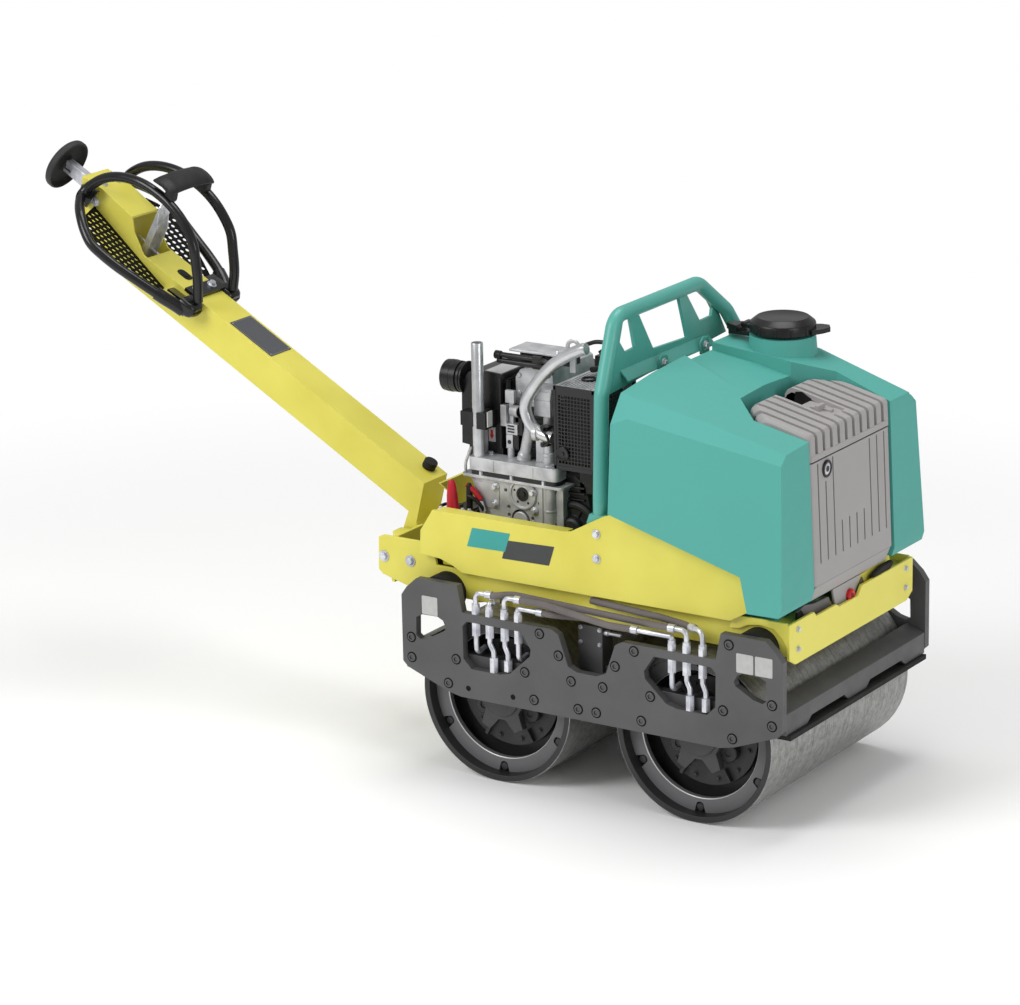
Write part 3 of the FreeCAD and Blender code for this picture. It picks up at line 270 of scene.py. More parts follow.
both = add(tree, "ShaderNodeMix", {0: 0.5, 2: streak.outputs[0], 3: mottle.outputs[0]})
tones = add(tree, "ShaderNodeMapRange", {"Value": both.outputs[0], "From Min": 0.38, "From Max": 0.62})
metal = add(tree, "ShaderNodeMix", {0: tones.outputs[0], 6: colour("#767675"), 7: colour("#B6B6B3")},
            data_type="RGBA")
skin = add(tree, "ShaderNodeMix", {0: bare.outputs[0], 6: colour("#242425"), 7: metal.outputs[2]},
           data_type="RGBA")
tree.links.new(skin.outputs[2], shader.inputs["Base Color"])
shine = add(tree, "ShaderNodeMath", {0: bare.outputs[0], 1: 0.75}, operation="MULTIPLY")
tree.links.new(shine.outputs[0], shader.inputs["Metallic"])
dull = add(tree, "ShaderNodeMapRange", {"Value": streak.outputs[0], "To Min": 0.34, "To Max": 0.52})
tree.links.new(dull.outputs[0], shader.inputs["Roughness"])
bump = add(tree, "ShaderNodeBump", {"Height": both.outputs[0], "Strength": 0.2, "Distance": 0.0003})
tree.links.new(bump.outputs[0], shader.inputs["Normal"])
dress(["front_drum", "rear_drum"], drum_steel, 1.5)

# ---------------------------------------------------------------- end rings
# A flat painted steel flange near each end of a drum, turned on its inner edge, which is painted
# pale for the highlight it catches. Its rim has a half-round notch round each of the six bolts
# that hold it.

# Painted cast steel: a dull dark coat with slow cloudy tone over a sandy casting, whose grain
# is drawn 5 mm coarse so that it shows.
drum_end_paint, tree, shader = new_material("painted_cast_steel", "#333335", 0.5, 0.0, "drum_end_paint")
place = add(tree, "ShaderNodeTexCoord").outputs["Object"]
sand = add(tree, "ShaderNodeTexNoise", {"Vector": place, "Scale": 1000 / 5, "Detail": 3.0})
cloud = add(tree, "ShaderNodeTexNoise", {"Vector": place, "Scale": 1000 / 90, "Detail": 3.0})
tone = add(tree, "ShaderNodeMix", {0: cloud.outputs[0], 6: colour("#262628"), 7: colour("#373739")},
           data_type="RGBA")
tree.links.new(tone.outputs[2], shader.inputs["Base Color"])
bump = add(tree, "ShaderNodeBump", {"Height": sand.outputs[0], "Strength": 0.2, "Distance": 0.0006})
tree.links.new(bump.outputs[0], shader.inputs["Normal"])

# Turned steel: an edge painted pale for its highlight, with uneven shine from fine turning marks.
machined, tree, shader = new_material("turned_steel_painted_highlight", "#D6D6D4", 0.35, 0.6, "drum_end_paint")
place = add(tree, "ShaderNodeTexCoord").outputs["Object"]
turned = add(tree, "ShaderNodeTexNoise", {"Vector": place, "Scale": 1000 / 3, "Detail": 4.0})
dull = add(tree, "ShaderNodeMapRange", {"Value": turned.outputs[0], "To Min": 0.25, "To Max": 0.5})
tree.links.new(dull.outputs[0], shader.inputs["Roughness"])

# Painted steel: the same coat in a lighter grey, as the ring catches more dust.
ring_paint = drum_end_paint.copy()
ring_paint.name = "painted_steel_ring"
for node in ring_paint.node_tree.nodes:
    if node.bl_idname == "ShaderNodeMix":
        node.inputs[6].default_value = colour("#5C5C5E")
        node.inputs[7].default_value = colour("#6C6C6E")
RING_THICK, RING_WIDE, RING_BEVEL, RING_STEPS = 14, 34.7, 1.8, 240
BOLTS, BOLT_CIRCLE, NOTCH = 6, 173, 13
BOLT_PITCH, BOLT_START = math.tau / BOLTS, math.radians(30)
for body, along in AXLES.items():
    low, high = box_mm(body + "_rings")
    outer = (high.x - low.x) / 2
    ring = bmesh.new()
    bolts = bmesh.new()
    for way in (-1, 1):
        face = way * high.y
        rims = {"inner": [], "outer": []}
        for k in range(RING_STEPS):
            angle = math.tau * k / RING_STEPS
            off = (angle - BOLT_START + BOLT_PITCH / 2) % BOLT_PITCH - BOLT_PITCH / 2
            reach = outer
            if abs(BOLT_CIRCLE * math.sin(off)) < NOTCH:
                reach = min(outer, BOLT_CIRCLE * math.cos(off)
                            - math.sqrt(NOTCH ** 2 - (BOLT_CIRCLE * math.sin(off)) ** 2))
            for rim, r, lip in (("inner", outer - RING_WIDE, RING_BEVEL), ("outer", reach, 0)):
                out = Vector((math.cos(angle), 0, math.sin(angle)))
                spot = Vector((along, face, DRUM_RADIUS)) + out * (r + lip)
                back = Vector((along, face - way * RING_THICK, DRUM_RADIUS)) + out * r
                edge = Vector((along, face - way * lip, DRUM_RADIUS)) + out * r
                corners = (spot, edge, back) if lip else (spot, back)
                rims[rim].append([ring.verts.new(p) for p in corners])
        for k in range(RING_STEPS):
            m = (k + 1) % RING_STEPS
            (a, a1, a2), (b, b1, b2) = rims["inner"][k], rims["inner"][m]
            # The inner chamfer takes the turned steel, painted pale as a highlight.
            ring.faces.new((a, b, b1, a1)).material_index = 1
            (c, c2), (d, d2) = rims["outer"][m], rims["outer"][k]
            for corners in ((a, b, c, d), (a2, b2, c2, d2), (a1, b1, b2, a2), (d, c, c2, d2)):
                ring.faces.new(corners)
        for k in range(BOLTS):
            angle = BOLT_START + BOLT_PITCH * k
            spot = (along + BOLT_CIRCLE * math.cos(angle), face - way * 9,
                    DRUM_RADIUS + BOLT_CIRCLE * math.sin(angle))
            lathe(bolts, [(9.5, -5), (9.5, 6), (8.3, 8), (4, 8.6), (0, 8.7)], spot, (0, way, 0))
    rings = piece(body + "_end_rings", ring, [ring_paint, machined], body)
    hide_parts(body + "_rings")
    piece(body + "_ring_bolts", bolts, drum_end_paint, body)

# ---------------------------------------------------------------- hub discs
# A disc of cast steel on each web, painted dull dark grey. It carries round bosses for the
# motor, six short ribs and a circle of small screws.
dress(["front_drum_hubs", "rear_drum_hubs"], drum_end_paint, 1.5)

HUB_SCREWS, SCREW_CIRCLE, BOSS_CIRCLE = 12, 113, 74
RIB_FROM, RIB_TO = 95, 127
for body, along in AXLES.items():
    low, high = box_mm(body + "_hubs")
    mesh = bmesh.new()
    for way in (-1, 1):
        for k in range(HUB_SCREWS):
            angle = math.radians(15 + 360 / HUB_SCREWS * k)
            spot = (along + SCREW_CIRCLE * math.cos(angle), way * high.y,
                    DRUM_RADIUS + SCREW_CIRCLE * math.sin(angle))
            lathe(mesh, [(7, -1), (7, 1.5), (0, 1.5)], spot, (0, way, 0), 16)
            lathe(mesh, [(4.6, 1.5), (4.6, 5), (3.8, 5.8), (0, 5.8)], spot, (0, way, 0), 6)
        for k in range(3):
            angle = math.radians(-30 + 120 * k)
            spot = (along + BOSS_CIRCLE * math.cos(angle), way * high.y,
                    DRUM_RADIUS + BOSS_CIRCLE * math.sin(angle))
            lathe(mesh, [(22, -1), (22, 17), (20, 19), (9, 19), (9, 16), (0, 16)], spot,
                  (0, way, 0), 32)
        for k in range(6):
            angle = math.radians(60 * k)
            out = Vector((math.cos(angle), 0, math.sin(angle)))
            flat = Vector((-math.sin(angle), 0, math.cos(angle)))
            root = Vector((along, way * high.y, DRUM_RADIUS))
            near, far = root + out * RIB_FROM, root + out * RIB_TO
            prism(mesh, [near + flat * 4, far + flat * 4, far - flat * 4, near - flat * 4],
                  (0, way * 12, 0))
    piece(body + "_hub_fittings", mesh, drum_end_paint, body, edge=0.5)

# ---------------------------------------------------------------- side plates and axle carriers
# Thick steel plates, cut with rounded windows and powder coated satin dark grey. Cast star
# brackets are screwed to their inner side and carry the drums.


def powder_coat(name, light, dark, slot, roughness=0.42, gloss=0.0, mirror=0.5):
    """Powder coat: soft cloudy tone, rubbed dull patches and orange peel, drawn 4 mm coarse."""
    made, tree, shader = new_material(name, light, roughness, 0.0, slot)
    place = add(tree, "ShaderNodeTexCoord").outputs["Object"]
    cloud = add(tree, "ShaderNodeTexNoise", {"Vector": place, "Scale": 1000 / 160, "Detail": 4.0})
    span = add(tree, "ShaderNodeMapRange",
               {"Value": cloud.outputs[0], "From Min": 0.3, "From Max": 0.7})
    tone = add(tree, "ShaderNodeMix", {0: span.outputs[0], 6: colour(light), 7: colour(dark)},
               data_type="RGBA")
    tree.links.new(tone.outputs[2], shader.inputs["Base Color"])
    rub = add(tree, "ShaderNodeTexNoise", {"Vector": place, "Scale": 1000 / 45, "Detail": 6.0,
                                           "Roughness": 0.7})
    dull = add(tree, "ShaderNodeMapRange", {"Value": rub.outputs[0], "From Min": 0.35, "From Max": 0.7,
                                            "To Min": roughness - 0.06, "To Max": roughness + 0.1})
    tree.links.new(dull.outputs[0], shader.inputs["Roughness"])
    peel = add(tree, "ShaderNodeTexNoise", {"Vector": place, "Scale": 1000 / 4, "Detail": 2.0})
    bump = add(tree, "ShaderNodeBump", {"Height": peel.outputs[0], "Strength": 0.12,
                                        "Distance": 0.0004})
    tree.links.new(bump.outputs[0], shader.inputs["Normal"])
    shader.inputs["Specular IOR Level"].default_value = mirror
    shader.inputs["Coat Weight"].default_value = gloss
    shader.inputs["Coat Roughness"].default_value = 0.1
    return made


# Satin dark grey coat, soft and even; the castings' coat is darker because it lies in shade.
dark_grey_paint = powder_coat("powder_coated_steel_dark_grey", "#565657", "#4A4A4B",
                              "dark_grey_paint", 0.45)
carrier_paint = powder_coat("powder_coated_casting_dark", "#3E3E40", "#353537", "dark_grey_paint", 0.42)
dress(["axle_carriers"], carrier_paint, 1.5)
dress(["side_plate_right", "side_plate_left"], dark_grey_paint, 3.0)

# ---------------------------------------------------------------- plate screws
# Socket screws of hardened steel hold the carriers and beams to the plates. Each head is
# painted over, stands in a shallow sunk ring and has a hexagon socket; ring and socket are
# painted black as their shade.

# Painted shade: black, with a weak uneven sheen, in the sunk rings, the sockets and the plain holes.
screw_shade_black, tree, shader = new_material("screw_recess_painted_shade", "#121213", 0.45, 0.0,
                                         "dark_grey_paint")
place = add(tree, "ShaderNodeTexCoord").outputs["Object"]
grain = add(tree, "ShaderNodeTexNoise", {"Vector": place, "Scale": 1000 / 3, "Detail": 3.0})
dull = add(tree, "ShaderNodeMapRange", {"Value": grain.outputs[0], "To Min": 0.3, "To Max": 0.55})
tree.links.new(dull.outputs[0], shader.inputs["Roughness"])
shader.inputs["Specular IOR Level"].default_value = 0.1

PLATE_FACE = box_mm("side_plate_left")[1].y
SCREWS = [(477.7, 323), (-477.7, 323), (477.5, 274), (-477.5, 274), (354, 289.5), (-354, 289.5),
          (377, 227.6), (-377, 227.6), (166.4, 289.7), (-166.4, 289.7), (142.6, 227.4),
          (-142.6, 227.4), (125, 389), (-125, 389), (75, 345), (-75, 345), (42, 289.5),
          (-42, 289.5), (24, 226), (-24, 226), (369, 445)]
PLAIN_HOLES = [(-322, 224), (-200, 224)]


def socket_screw(mesh, spot, way):
    """A coated head with a hexagon socket, in a sunk ring; ring and socket are painted black as shade.
    """
    head, groove = 9.6, 12.8
    lathe(mesh, [(groove, -1), (groove, 0.4), (head, 0.4)], spot, way, 28)
    lathe(mesh, [(head, -1), (head, 1.6), (head - 1, 2.4), (head * 0.58, 2.4)], spot, way, 28, 1)
    lathe(mesh, [(head * 0.64, 2.4), (head * 0.6, -0.6), (0, -0.6)], spot, way, 6)


mesh = bmesh.new()
for way in (-1, 1):
    for along, height in SCREWS:
        socket_screw(mesh, (MIDDLE + along, way * PLATE_FACE, height), (0, way, 0))
    # Plain holes are drawn as flat black discs, painted shade.
    for along, height in PLAIN_HOLES:
        lathe(mesh, [(6.5, -1), (6.5, 0.3), (5.2, 0.5), (5.2, 0.1), (0, 0.1)],
              (MIDDLE + along, way * PLATE_FACE, height), (0, way, 0))
piece("side_plate_screws", mesh, [screw_shade_black, dark_grey_paint], "machine")

# ---------------------------------------------------------------- plate labels
# Three blank labels of thin pale vinyl with rounded corners, stuck to each plate near its
# upper corners.

# Vinyl film: pale and plain, with faint scuffs of about 14 mm.
pale_vinyl, tree, shader = new_material("pale_vinyl_label", "#B9B9B7", 0.5, 0.0, "dark_grey_paint")
place = add(tree, "ShaderNodeTexCoord").outputs["Object"]
scuff = add(tree, "ShaderNodeTexNoise", {"Vector": place, "Scale": 1000 / 14, "Detail": 5.0})
tone = add(tree, "ShaderNodeMix", {0: scuff.outputs[0], 6: colour("#C6C6C4"), 7: colour("#A8A8A6")},
           data_type="RGBA")
tree.links.new(tone.outputs[2], shader.inputs["Base Color"])


def rounded(low_u, high_u, low_v, high_v, corner, steps=4):
    """The outline of a rectangle with round corners."""
    points = []
    for turn, (u, v) in enumerate(((high_u - corner, high_v - corner),
                                   (low_u + corner, high_v - corner),
                                   (low_u + corner, low_v + corner),
                                   (high_u - corner, low_v + corner))):
        for k in range(steps + 1):
            angle = math.radians(90 * turn + 90 * k / steps)
            points.append((u + corner * math.cos(angle), v + corner * math.sin(angle)))
    return points


mesh = bmesh.new()
for way in (-1, 1):
    for low_u, high_u in ((387.6, 430.3), (434.8, 478.5), (-446, -403)):
        face = way * (PLATE_FACE - 0.5)
        outline = [(MIDDLE + u, face, v) for u, v in rounded(low_u, high_u, 385, 429.5, 3)]
        prism(mesh, outline, (0, way * 0.8, 0))
piece("side_plate_labels", mesh, pale_vinyl, "machine")

# ---------------------------------------------------------------- scrapers and centre beam
# A folded steel beam across each end and between the drums, with a rubber strip that wipes
# the drum. The fold is powder coated like the plates, and the strip is matt moulded rubber.
dress(["scraper_beams", "centre_beam"], dark_grey_paint, 1.5)


def moulded_rubber(name, base, slot, roughness=0.75):
    """Moulded rubber: matt, with a pale bloom and a leathery skin, drawn 3 mm coarse."""
    made, tree, shader = new_material(name, base, roughness, 0.0, slot)
    place = add(tree, "ShaderNodeTexCoord").outputs["Object"]
    bloom = add(tree, "ShaderNodeTexNoise", {"Vector": place, "Scale": 1000 / 60, "Detail": 5.0})
    spread = add(tree, "ShaderNodeMapRange",
                 {"Value": bloom.outputs[0], "From Min": 0.35, "From Max": 0.75,
                  "To Min": 0.0, "To Max": 0.35})
    tone = add(tree, "ShaderNodeMix", {0: spread.outputs[0], 6: colour(base), 7: colour("#3E3E3A")},
               data_type="RGBA")
    tree.links.new(tone.outputs[2], shader.inputs["Base Color"])
    skin = add(tree, "ShaderNodeTexNoise", {"Vector": place, "Scale": 1000 / 3, "Detail": 3.0})
    bump = add(tree, "ShaderNodeBump", {"Height": skin.outputs[0], "Strength": 0.25,
                                        "Distance": 0.0004})
    tree.links.new(bump.outputs[0], shader.inputs["Normal"])
    shader.inputs["Specular IOR Level"].default_value = 0.35
    return made


# Plain black rubber for the scraper strips and the round mounts.
black_rubber = moulded_rubber("moulded_black_rubber", "#141414", "black_rubber")
dress(["scraper_strips", "rubber_mounts"], black_rubber, 1.0)

# ---------------------------------------------------------------- hydraulic fittings
# Bent steel pipes with hexagon nuts lead from the drum motors through the plates. Pipes and
# nuts are zinc plated after bending and screwed into each other.


def plated_steel(name, light, dark, roughness, slot):
    """Zinc plate: bright metal with cloudy grey patches and a satin grain, drawn 1.5 mm coarse."""
    made, tree, shader = new_material(name, light, roughness, 0.7, slot)
    place = add(tree, "ShaderNodeTexCoord").outputs["Object"]
    cloud = add(tree, "ShaderNodeTexNoise", {"Vector": place, "Scale": 1000 / 25, "Detail": 5.0})
    span = add(tree, "ShaderNodeMapRange",
               {"Value": cloud.outputs[0], "From Min": 0.35, "From Max": 0.65})
    tone = add(tree, "ShaderNodeMix", {0: span.outputs[0], 6: colour(light), 7: colour(dark)},
               data_type="RGBA")
    tree.links.new(tone.outputs[2], shader.inputs["Base Color"])
    dull = add(tree, "ShaderNodeMapRange", {"Value": cloud.outputs[0], "To Min": roughness - 0.08,
                                            "To Max": roughness + 0.14})
    tree.links.new(dull.outputs[0], shader.inputs["Roughness"])
    grain = add(tree, "ShaderNodeTexNoise", {"Vector": place, "Scale": 1000 / 1.5, "Detail": 2.0})
    bump = add(tree, "ShaderNodeBump", {"Height": grain.outputs[0], "Strength": 0.1,
                                        "Distance": 0.0002})
    tree.links.new(bump.outputs[0], shader.inputs["Normal"])
    return made


# Bright zinc plate with a cold blue-white shine, on every fitting and bolt.
zinc = plated_steel("zinc_plated_steel", "#E4E5EA", "#B9BBC4", 0.3, "zinc_steel")
dress(["hydraulic_fittings"], zinc)

# ---------------------------------------------------------------- hydraulic hoses
# Hoses of black rubber with a woven fabric cover join the fittings above the frame. Their
# ends are pressed into the fittings' sleeves.

# Fabric cover: dusty grey-brown and matt. The weave is drawn 2.2 mm wide so that it shows,
# about twice the real one.
hose_cover, tree, shader = new_material("fabric_covered_hose", "#6B6463", 0.8, 0.0, "hose_rubber")
place = add(tree, "ShaderNodeTexCoord").outputs["Object"]
weave = add(tree, "ShaderNodeTexVoronoi", {"Vector": place, "Scale": 1000 / 2.2})
fade = add(tree, "ShaderNodeTexNoise", {"Vector": place, "Scale": 1000 / 70, "Detail": 4.0})
tone = add(tree, "ShaderNodeMix", {0: fade.outputs[0], 6: colour("#5C5655"), 7: colour("#7C7574")},
           data_type="RGBA")
tree.links.new(tone.outputs[2], shader.inputs["Base Color"])
bump = add(tree, "ShaderNodeBump", {"Height": weave.outputs["Distance"], "Strength": 0.4,
                                    "Distance": 0.0006})
tree.links.new(bump.outputs[0], shader.inputs["Normal"])
dress(["hydraulic_hoses"], hose_cover)

# ---------------------------------------------------------------- valve block
# A machined steel block between the drums on each side, painted dark grey. It is held by
# four small bolts and has a plated plunger.
dress(["valve_block"], dark_grey_paint, 1.5)


def hex_bolt(mesh, spot, way, across, washer, height=6.0):
    """A hexagon head on its washer, with a slight dome."""
    base = 1.9
    lathe(mesh, [(washer, -1), (washer, base - 0.5), (washer - 0.5, base), (0, base)], spot, way, 20)
    lathe(mesh, [(across, base - 1), (across, base + height - 1), (across * 0.86, base + height),
                 (0, base + height)], spot, way, 6)


low, high = box_mm("valve_block")
mesh = bmesh.new()
for way in (-1, 1):
    for along in (-59, -8):
        for height in (361, 396):
            hex_bolt(mesh, (MIDDLE + along, way * high.y, height), (0, way, 0), 4, 5.5, 3)
    lathe(mesh, [(7, -2), (7, 10), (5, 12), (5, 43), (3, 45), (0, 45)],
          (MIDDLE - 1, way * (high.y - 12), 388), (1, 0, 0), 16)
piece("valve_bolts", mesh, zinc, "machine")

# ---------------------------------------------------------------- chassis
# Folded and welded sheet: two side panels over two rails, a deck, a front bumper and a rear
# crossmember, powder coated lemon yellow. Everything above the rubber mounts hangs on it.

# Satin lemon yellow coat with a soft sheen; the bumper's copy is painted a shade lighter for the light
# on its front.
yellow_paint = powder_coat("powder_coated_steel_yellow", "#E3DA5E", "#D8CE50", "yellow_paint", 0.4)
lit_yellow_paint = powder_coat("powder_coated_steel_yellow_painted_light", "#EEE566", "#E8DE5E",
                           "yellow_paint", 0.4)
dress(["chassis_panel_right", "chassis_panel_left", "chassis_rails",
       "rear_crossmember", "engine_deck", "drawbar_yoke"], yellow_paint, 1.5)
# The bumper takes the lighter copy of the yellow, painted light.
dress(["front_bumper"], lit_yellow_paint, 1.5)

# ---------------------------------------------------------------- chassis bolts
# Hexagon bolts with round washers, zinc plated. They hold the panels, the rails' rear ends
# and the bumper.
panel_face = box_mm("chassis_panel_left")[1].y
rail_face = box_mm("chassis_rails")[1].y
bumper_face = box_mm("front_bumper")[1].x
mesh = bmesh.new()
for way in (-1, 1):
    for along, height in ((2, 632), (2, 574)):
        hex_bolt(mesh, (MIDDLE + along, way * panel_face, height), (0, way, 0), 8, 11)
    for along, height in ((-594, 484), (-520, 483)):
        hex_bolt(mesh, (MIDDLE + along, way * rail_face, height), (0, way, 0), 9.5, 14)
    for height in (474, 428):
        hex_bolt(mesh, (bumper_face, way * 255, height), (1, 0, 0), 5.2, 7.5, 5)
piece("chassis_bolts", mesh, zinc, "machine")

# ---------------------------------------------------------------- panel patches
# Two slanted strips of printed vinyl on each side panel, one teal and one dark grey. They are
# blank, and the teal one overlaps the other.

# Printed film: even colour with a soft gloss.
teal_vinyl = powder_coat("printed_vinyl_teal", "#35A29B", "#2F9891", "yellow_paint", 0.35)
dark_vinyl = powder_coat("printed_vinyl_dark_grey", "#3B3D3D", "#333535", "yellow_paint", 0.4)
for name, material, corners, lift in (
        ("patch_dark", dark_vinyl, [(-238, 581), (-110, 585), (-125, 538), (-252, 536)], 0.5),
        ("patch_teal", teal_vinyl, [(-332, 597), (-229, 598), (-243, 553), (-347, 551)], 0.8)):
    mesh = bmesh.new()
    for way in (-1, 1):
        prism(mesh, [(MIDDLE + u, way * (panel_face - 0.3), v) for u, v in corners],
              (0, way * (lift + 0.3), 0))
    piece("label_" + name, mesh, material, "machine")

# ---------------------------------------------------------------- drawbar beam
# A folded and welded box beam with a hooded head, powder coated yellow. It turns on a plated
# pin, rests on a moulded rubber buffer and holds the plated rod of the stop pad.
BEAM_SLOPE = 29.75
pivot = next(j for j in frame["record"]["behaviour"]["joints"] if j["name"] == "drawbar_hinge")
LEANED = (Matrix.Translation(Vector(pivot["pos_m"]) * 1000)
          @ Matrix.Rotation(math.radians(BEAM_SLOPE), 4, "Y"))
dress(["drawbar_beam"], yellow_paint, 2.5)
dress(["drawbar_pin", "stop_rod"], zinc, 0.8)
dress(["beam_buffer"], black_rubber, 2.0)

# ---------------------------------------------------------------- handle tubes
# One bent steel tube on each side, painted gloss black: over the top, round the nose and back
# beside the guard. Both ends of a tube sit in the clamp.

# Gloss black paint on steel: deep black with a clear, slightly wavy highlight.
black_paint = powder_coat("gloss_black_painted_steel", "#0C0C0E", "#121214", "black_paint", 0.3,
                          0.35, 0.3)


def loft(mesh, rings, finish=0):
    """Joins like rings of points, one after another, and closes both ends."""
    made = [[mesh.verts.new(Vector(p)) for p in ring] for ring in rings]
    for low, high in zip(made, made[1:]):
        for k in range(len(low)):
            m = (k + 1) % len(low)
            mesh.faces.new((low[k], low[m], high[m], high[k])).material_index = finish
    mesh.faces.new(made[0]).material_index = finish
    mesh.faces.new(made[-1]).material_index = finish


def cable(mesh, spots, radius, around=14):
    """A round cable or pipe on a smooth curve through its spots, closed at both ends."""
    spots = [Vector(s) for s in spots]
    spots = [2 * spots[0] - spots[1]] + spots + [2 * spots[-1] - spots[-2]]
    path = []
    for a, b, c, d in zip(spots, spots[1:], spots[2:], spots[3:]):
        for k in range(8):
            t = k / 8
            path.append((2 * b + (c - a) * t + (2 * a - 5 * b + 4 * c - d) * t ** 2
                         + (3 * b - a - 3 * c + d) * t ** 3) / 2)
    path.append(spots[-2])
    side = (path[1] - path[0]).orthogonal()
    rings = []
    for k, spot in enumerate(path):
        way = (path[min(k + 1, len(path) - 1)] - path[max(k - 1, 0)]).normalized()
        side = (side - way * side.dot(way)).normalized()
        lift = way.cross(side)
        rings.append([spot + (side * math.cos(math.tau * n / around)
                              + lift * math.sin(math.tau * n / around)) * radius
                      for n in range(around)])
    loft(mesh, rings)


LOOP_RADIUS = 12.5
LOOP = [(-773, 71, 150), (-792, 74, 192), (-819, 75, 234), (-849, 76, 273), (-894, 75, 301),
        (-939, 75, 316), (-987, 75, 321), (-1043, 75.5, 316), (-1097, 75, 296), (-1141, 75, 264),
        (-1170, 76, 222), (-1178, 88, 192), (-1162, 112, 188), (-1141, 135, 184),
        (-1115, 155, 178), (-1085, 168, 165), (-1050, 175, 151.5), (-1012, 170, 144),
        (-964, 160, 138), (-913, 146, 134.5), (-858, 128, 129), (-818, 107, 122), (-782, 89, 115)]
mesh = bmesh.new()
for way in (-1, 1):
    cable(mesh, [(x, way * y, z) for x, y, z in LOOP], LOOP_RADIUS, 28)
loops = piece("handle_tubes", mesh, black_paint, "drawbar", LEANED)
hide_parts("handle_loops")

# ---------------------------------------------------------------- handle clamp
# A folded steel strap over the beam with a cast block at each end that takes both ends of a
# tube. A cast piece on each side of the nose bolts the tube to the beam. All gloss black.
mesh = bmesh.new()
prism(mesh, [(x, -58, z) for x, z in ((-827, 141.2), (-788, 141.2), (-788, 150), (-827, 150))],
      (0, 116, 0))
for way in (-1, 1):
    loft(mesh, [[(x + 0.3 * s, way * y, z)
                 for y, z in rounded(50.4 + s, 104 - s, 108 + s, 147 - s, 12, 5)]
                for x, s in ((-806, 3), (-803, 0), (-774, 0), (-766, 3), (-761, 9))])
    cable(mesh, [(-858, way * 126, 128.5), (-835, way * 116, 125), (-812, way * 103, 121),
                 (-788, way * 91, 116)], 16.5, 24)
    prism(mesh, [(-858, way * 54, 121), (-795, way * 54, 124), (-795, way * 92, 134),
                 (-852, way * 92, 131)],
          (0, 0, 6))
    loft(mesh, [[(x, way * y, z) for x, z in outline] for y, outline in (
        (50, ((-1211, 150), (-1212, 186), (-1199, 198), (-1174, 190), (-1175, 147))),
        (62, ((-1204, 156), (-1205, 196), (-1192, 205), (-1150, 214), (-1166, 152))),
        (80, ((-1192, 164), (-1190, 204), (-1178, 214), (-1144, 222), (-1158, 162))))])
clamp = piece("handle_clamp_casting", mesh, black_paint, "drawbar", LEANED, 2.0, 3)
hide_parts("handle_clamp")

# ---------------------------------------------------------------- hand lever
# A folded channel of thin zinc-plated sheet that stands up through the beam's slot, with two
# pressed dimples on its face.
mesh = bmesh.new()
prism(mesh, [(-1001, y, z) for y, z in ((-24, 96), (26, 90), (28, 236), (22, 243), (-16, 268),
                                        (-23, 269), (-27, 262))], (3.5, 0, 0))
for way, top in ((-24, 250), (23.5, 232)):
    prism(mesh, [(x, way, z) for x, z in ((-1000, 92), (-984, 92), (-984, 200), (-998, top))],
          (0, 3.5, 0))
for y, z in ((-3, 243), (1, 196)):
    lathe(mesh, [(7, -1), (6, 1.2), (3.6, 1.8), (2.6, 0.2), (0, 0.2)], (-997.5, y, z), (1, 0, 0), 20)
lever = piece("lever_channel", mesh, zinc, "drawbar", LEANED, 1.0)
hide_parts("hand_lever")

# ---------------------------------------------------------------- handle guards
# Steel sheet punched with rows of round holes and painted matt black. It slopes away from the
# beam's top edge to the tube on each side.

# Matt black paint: dead black without a highlight.
matt_black = powder_coat("matt_black_painted_sheet", "#09090A", "#0D0D0E", "black_paint", 0.6, 0.0,
                         0.15)


def inside(point, loop):
    """Whether a flat point lies within a closed loop."""
    within = False
    for (ax, ay), (bx, by) in zip(loop, loop[1:] + loop[:1]):
        if (ay > point[1]) != (by > point[1]):
            if point[0] < (bx - ax) * (point[1] - ay) / (by - ay) + ax:
                within = not within
    return within


def sheet(mesh, outline, holes, at, thick, finish=0):
    """A flat sheet with holes, placed point by point by a function and given a thickness."""
    points, edges = [], []
    for loop in [outline] + holes:
        first = len(points)
        points += [Vector(p) for p in loop]
        edges += [(first + k, first + (k + 1) % len(loop)) for k in range(len(loop))]
    spots, _, fills, *_ = geometry.delaunay_2d_cdt(points, edges, [list(range(len(outline)))], 1, 1e-4)
    hubs = [(sum(u for u, v in loop) / len(loop), sum(v for u, v in loop) / len(loop))
            for loop in holes]
    reach = max((math.dist(loop[0], hub) for hub, loop in zip(hubs, holes)), default=0)
    low = [mesh.verts.new(Vector(at(*p))) for p in spots]
    high = [mesh.verts.new(v.co + Vector(thick)) for v in low]
    sides = set()
    for fill in fills:
        middle = [sum(spots[k][n] for k in fill) / 3 for n in (0, 1)]
        if any(math.dist(middle, hub) < reach and inside(middle, loop)
               for hub, loop in zip(hubs, holes)):
            continue
        mesh.faces.new([low[k] for k in fill]).material_index = finish
        mesh.faces.new([high[k] for k in reversed(fill)]).material_index = finish
        sides |= {(fill[k], fill[(k + 1) % 3]) for k in range(3)}
    for a, b in sorted(sides):
        if (b, a) not in sides:
            mesh.faces.new((low[a], low[b], high[b], high[a])).material_index = finish
    bmesh.ops.delete(mesh, geom=[v for v in low + high if not v.link_faces], context="VERTS")


def ring_loop(u, v, radius, steps):
    """A regular loop of points about a centre."""
    return [(u + radius * math.cos(math.tau * k / steps),
             v + radius * math.sin(math.tau * k / steps)) for k in range(steps)]


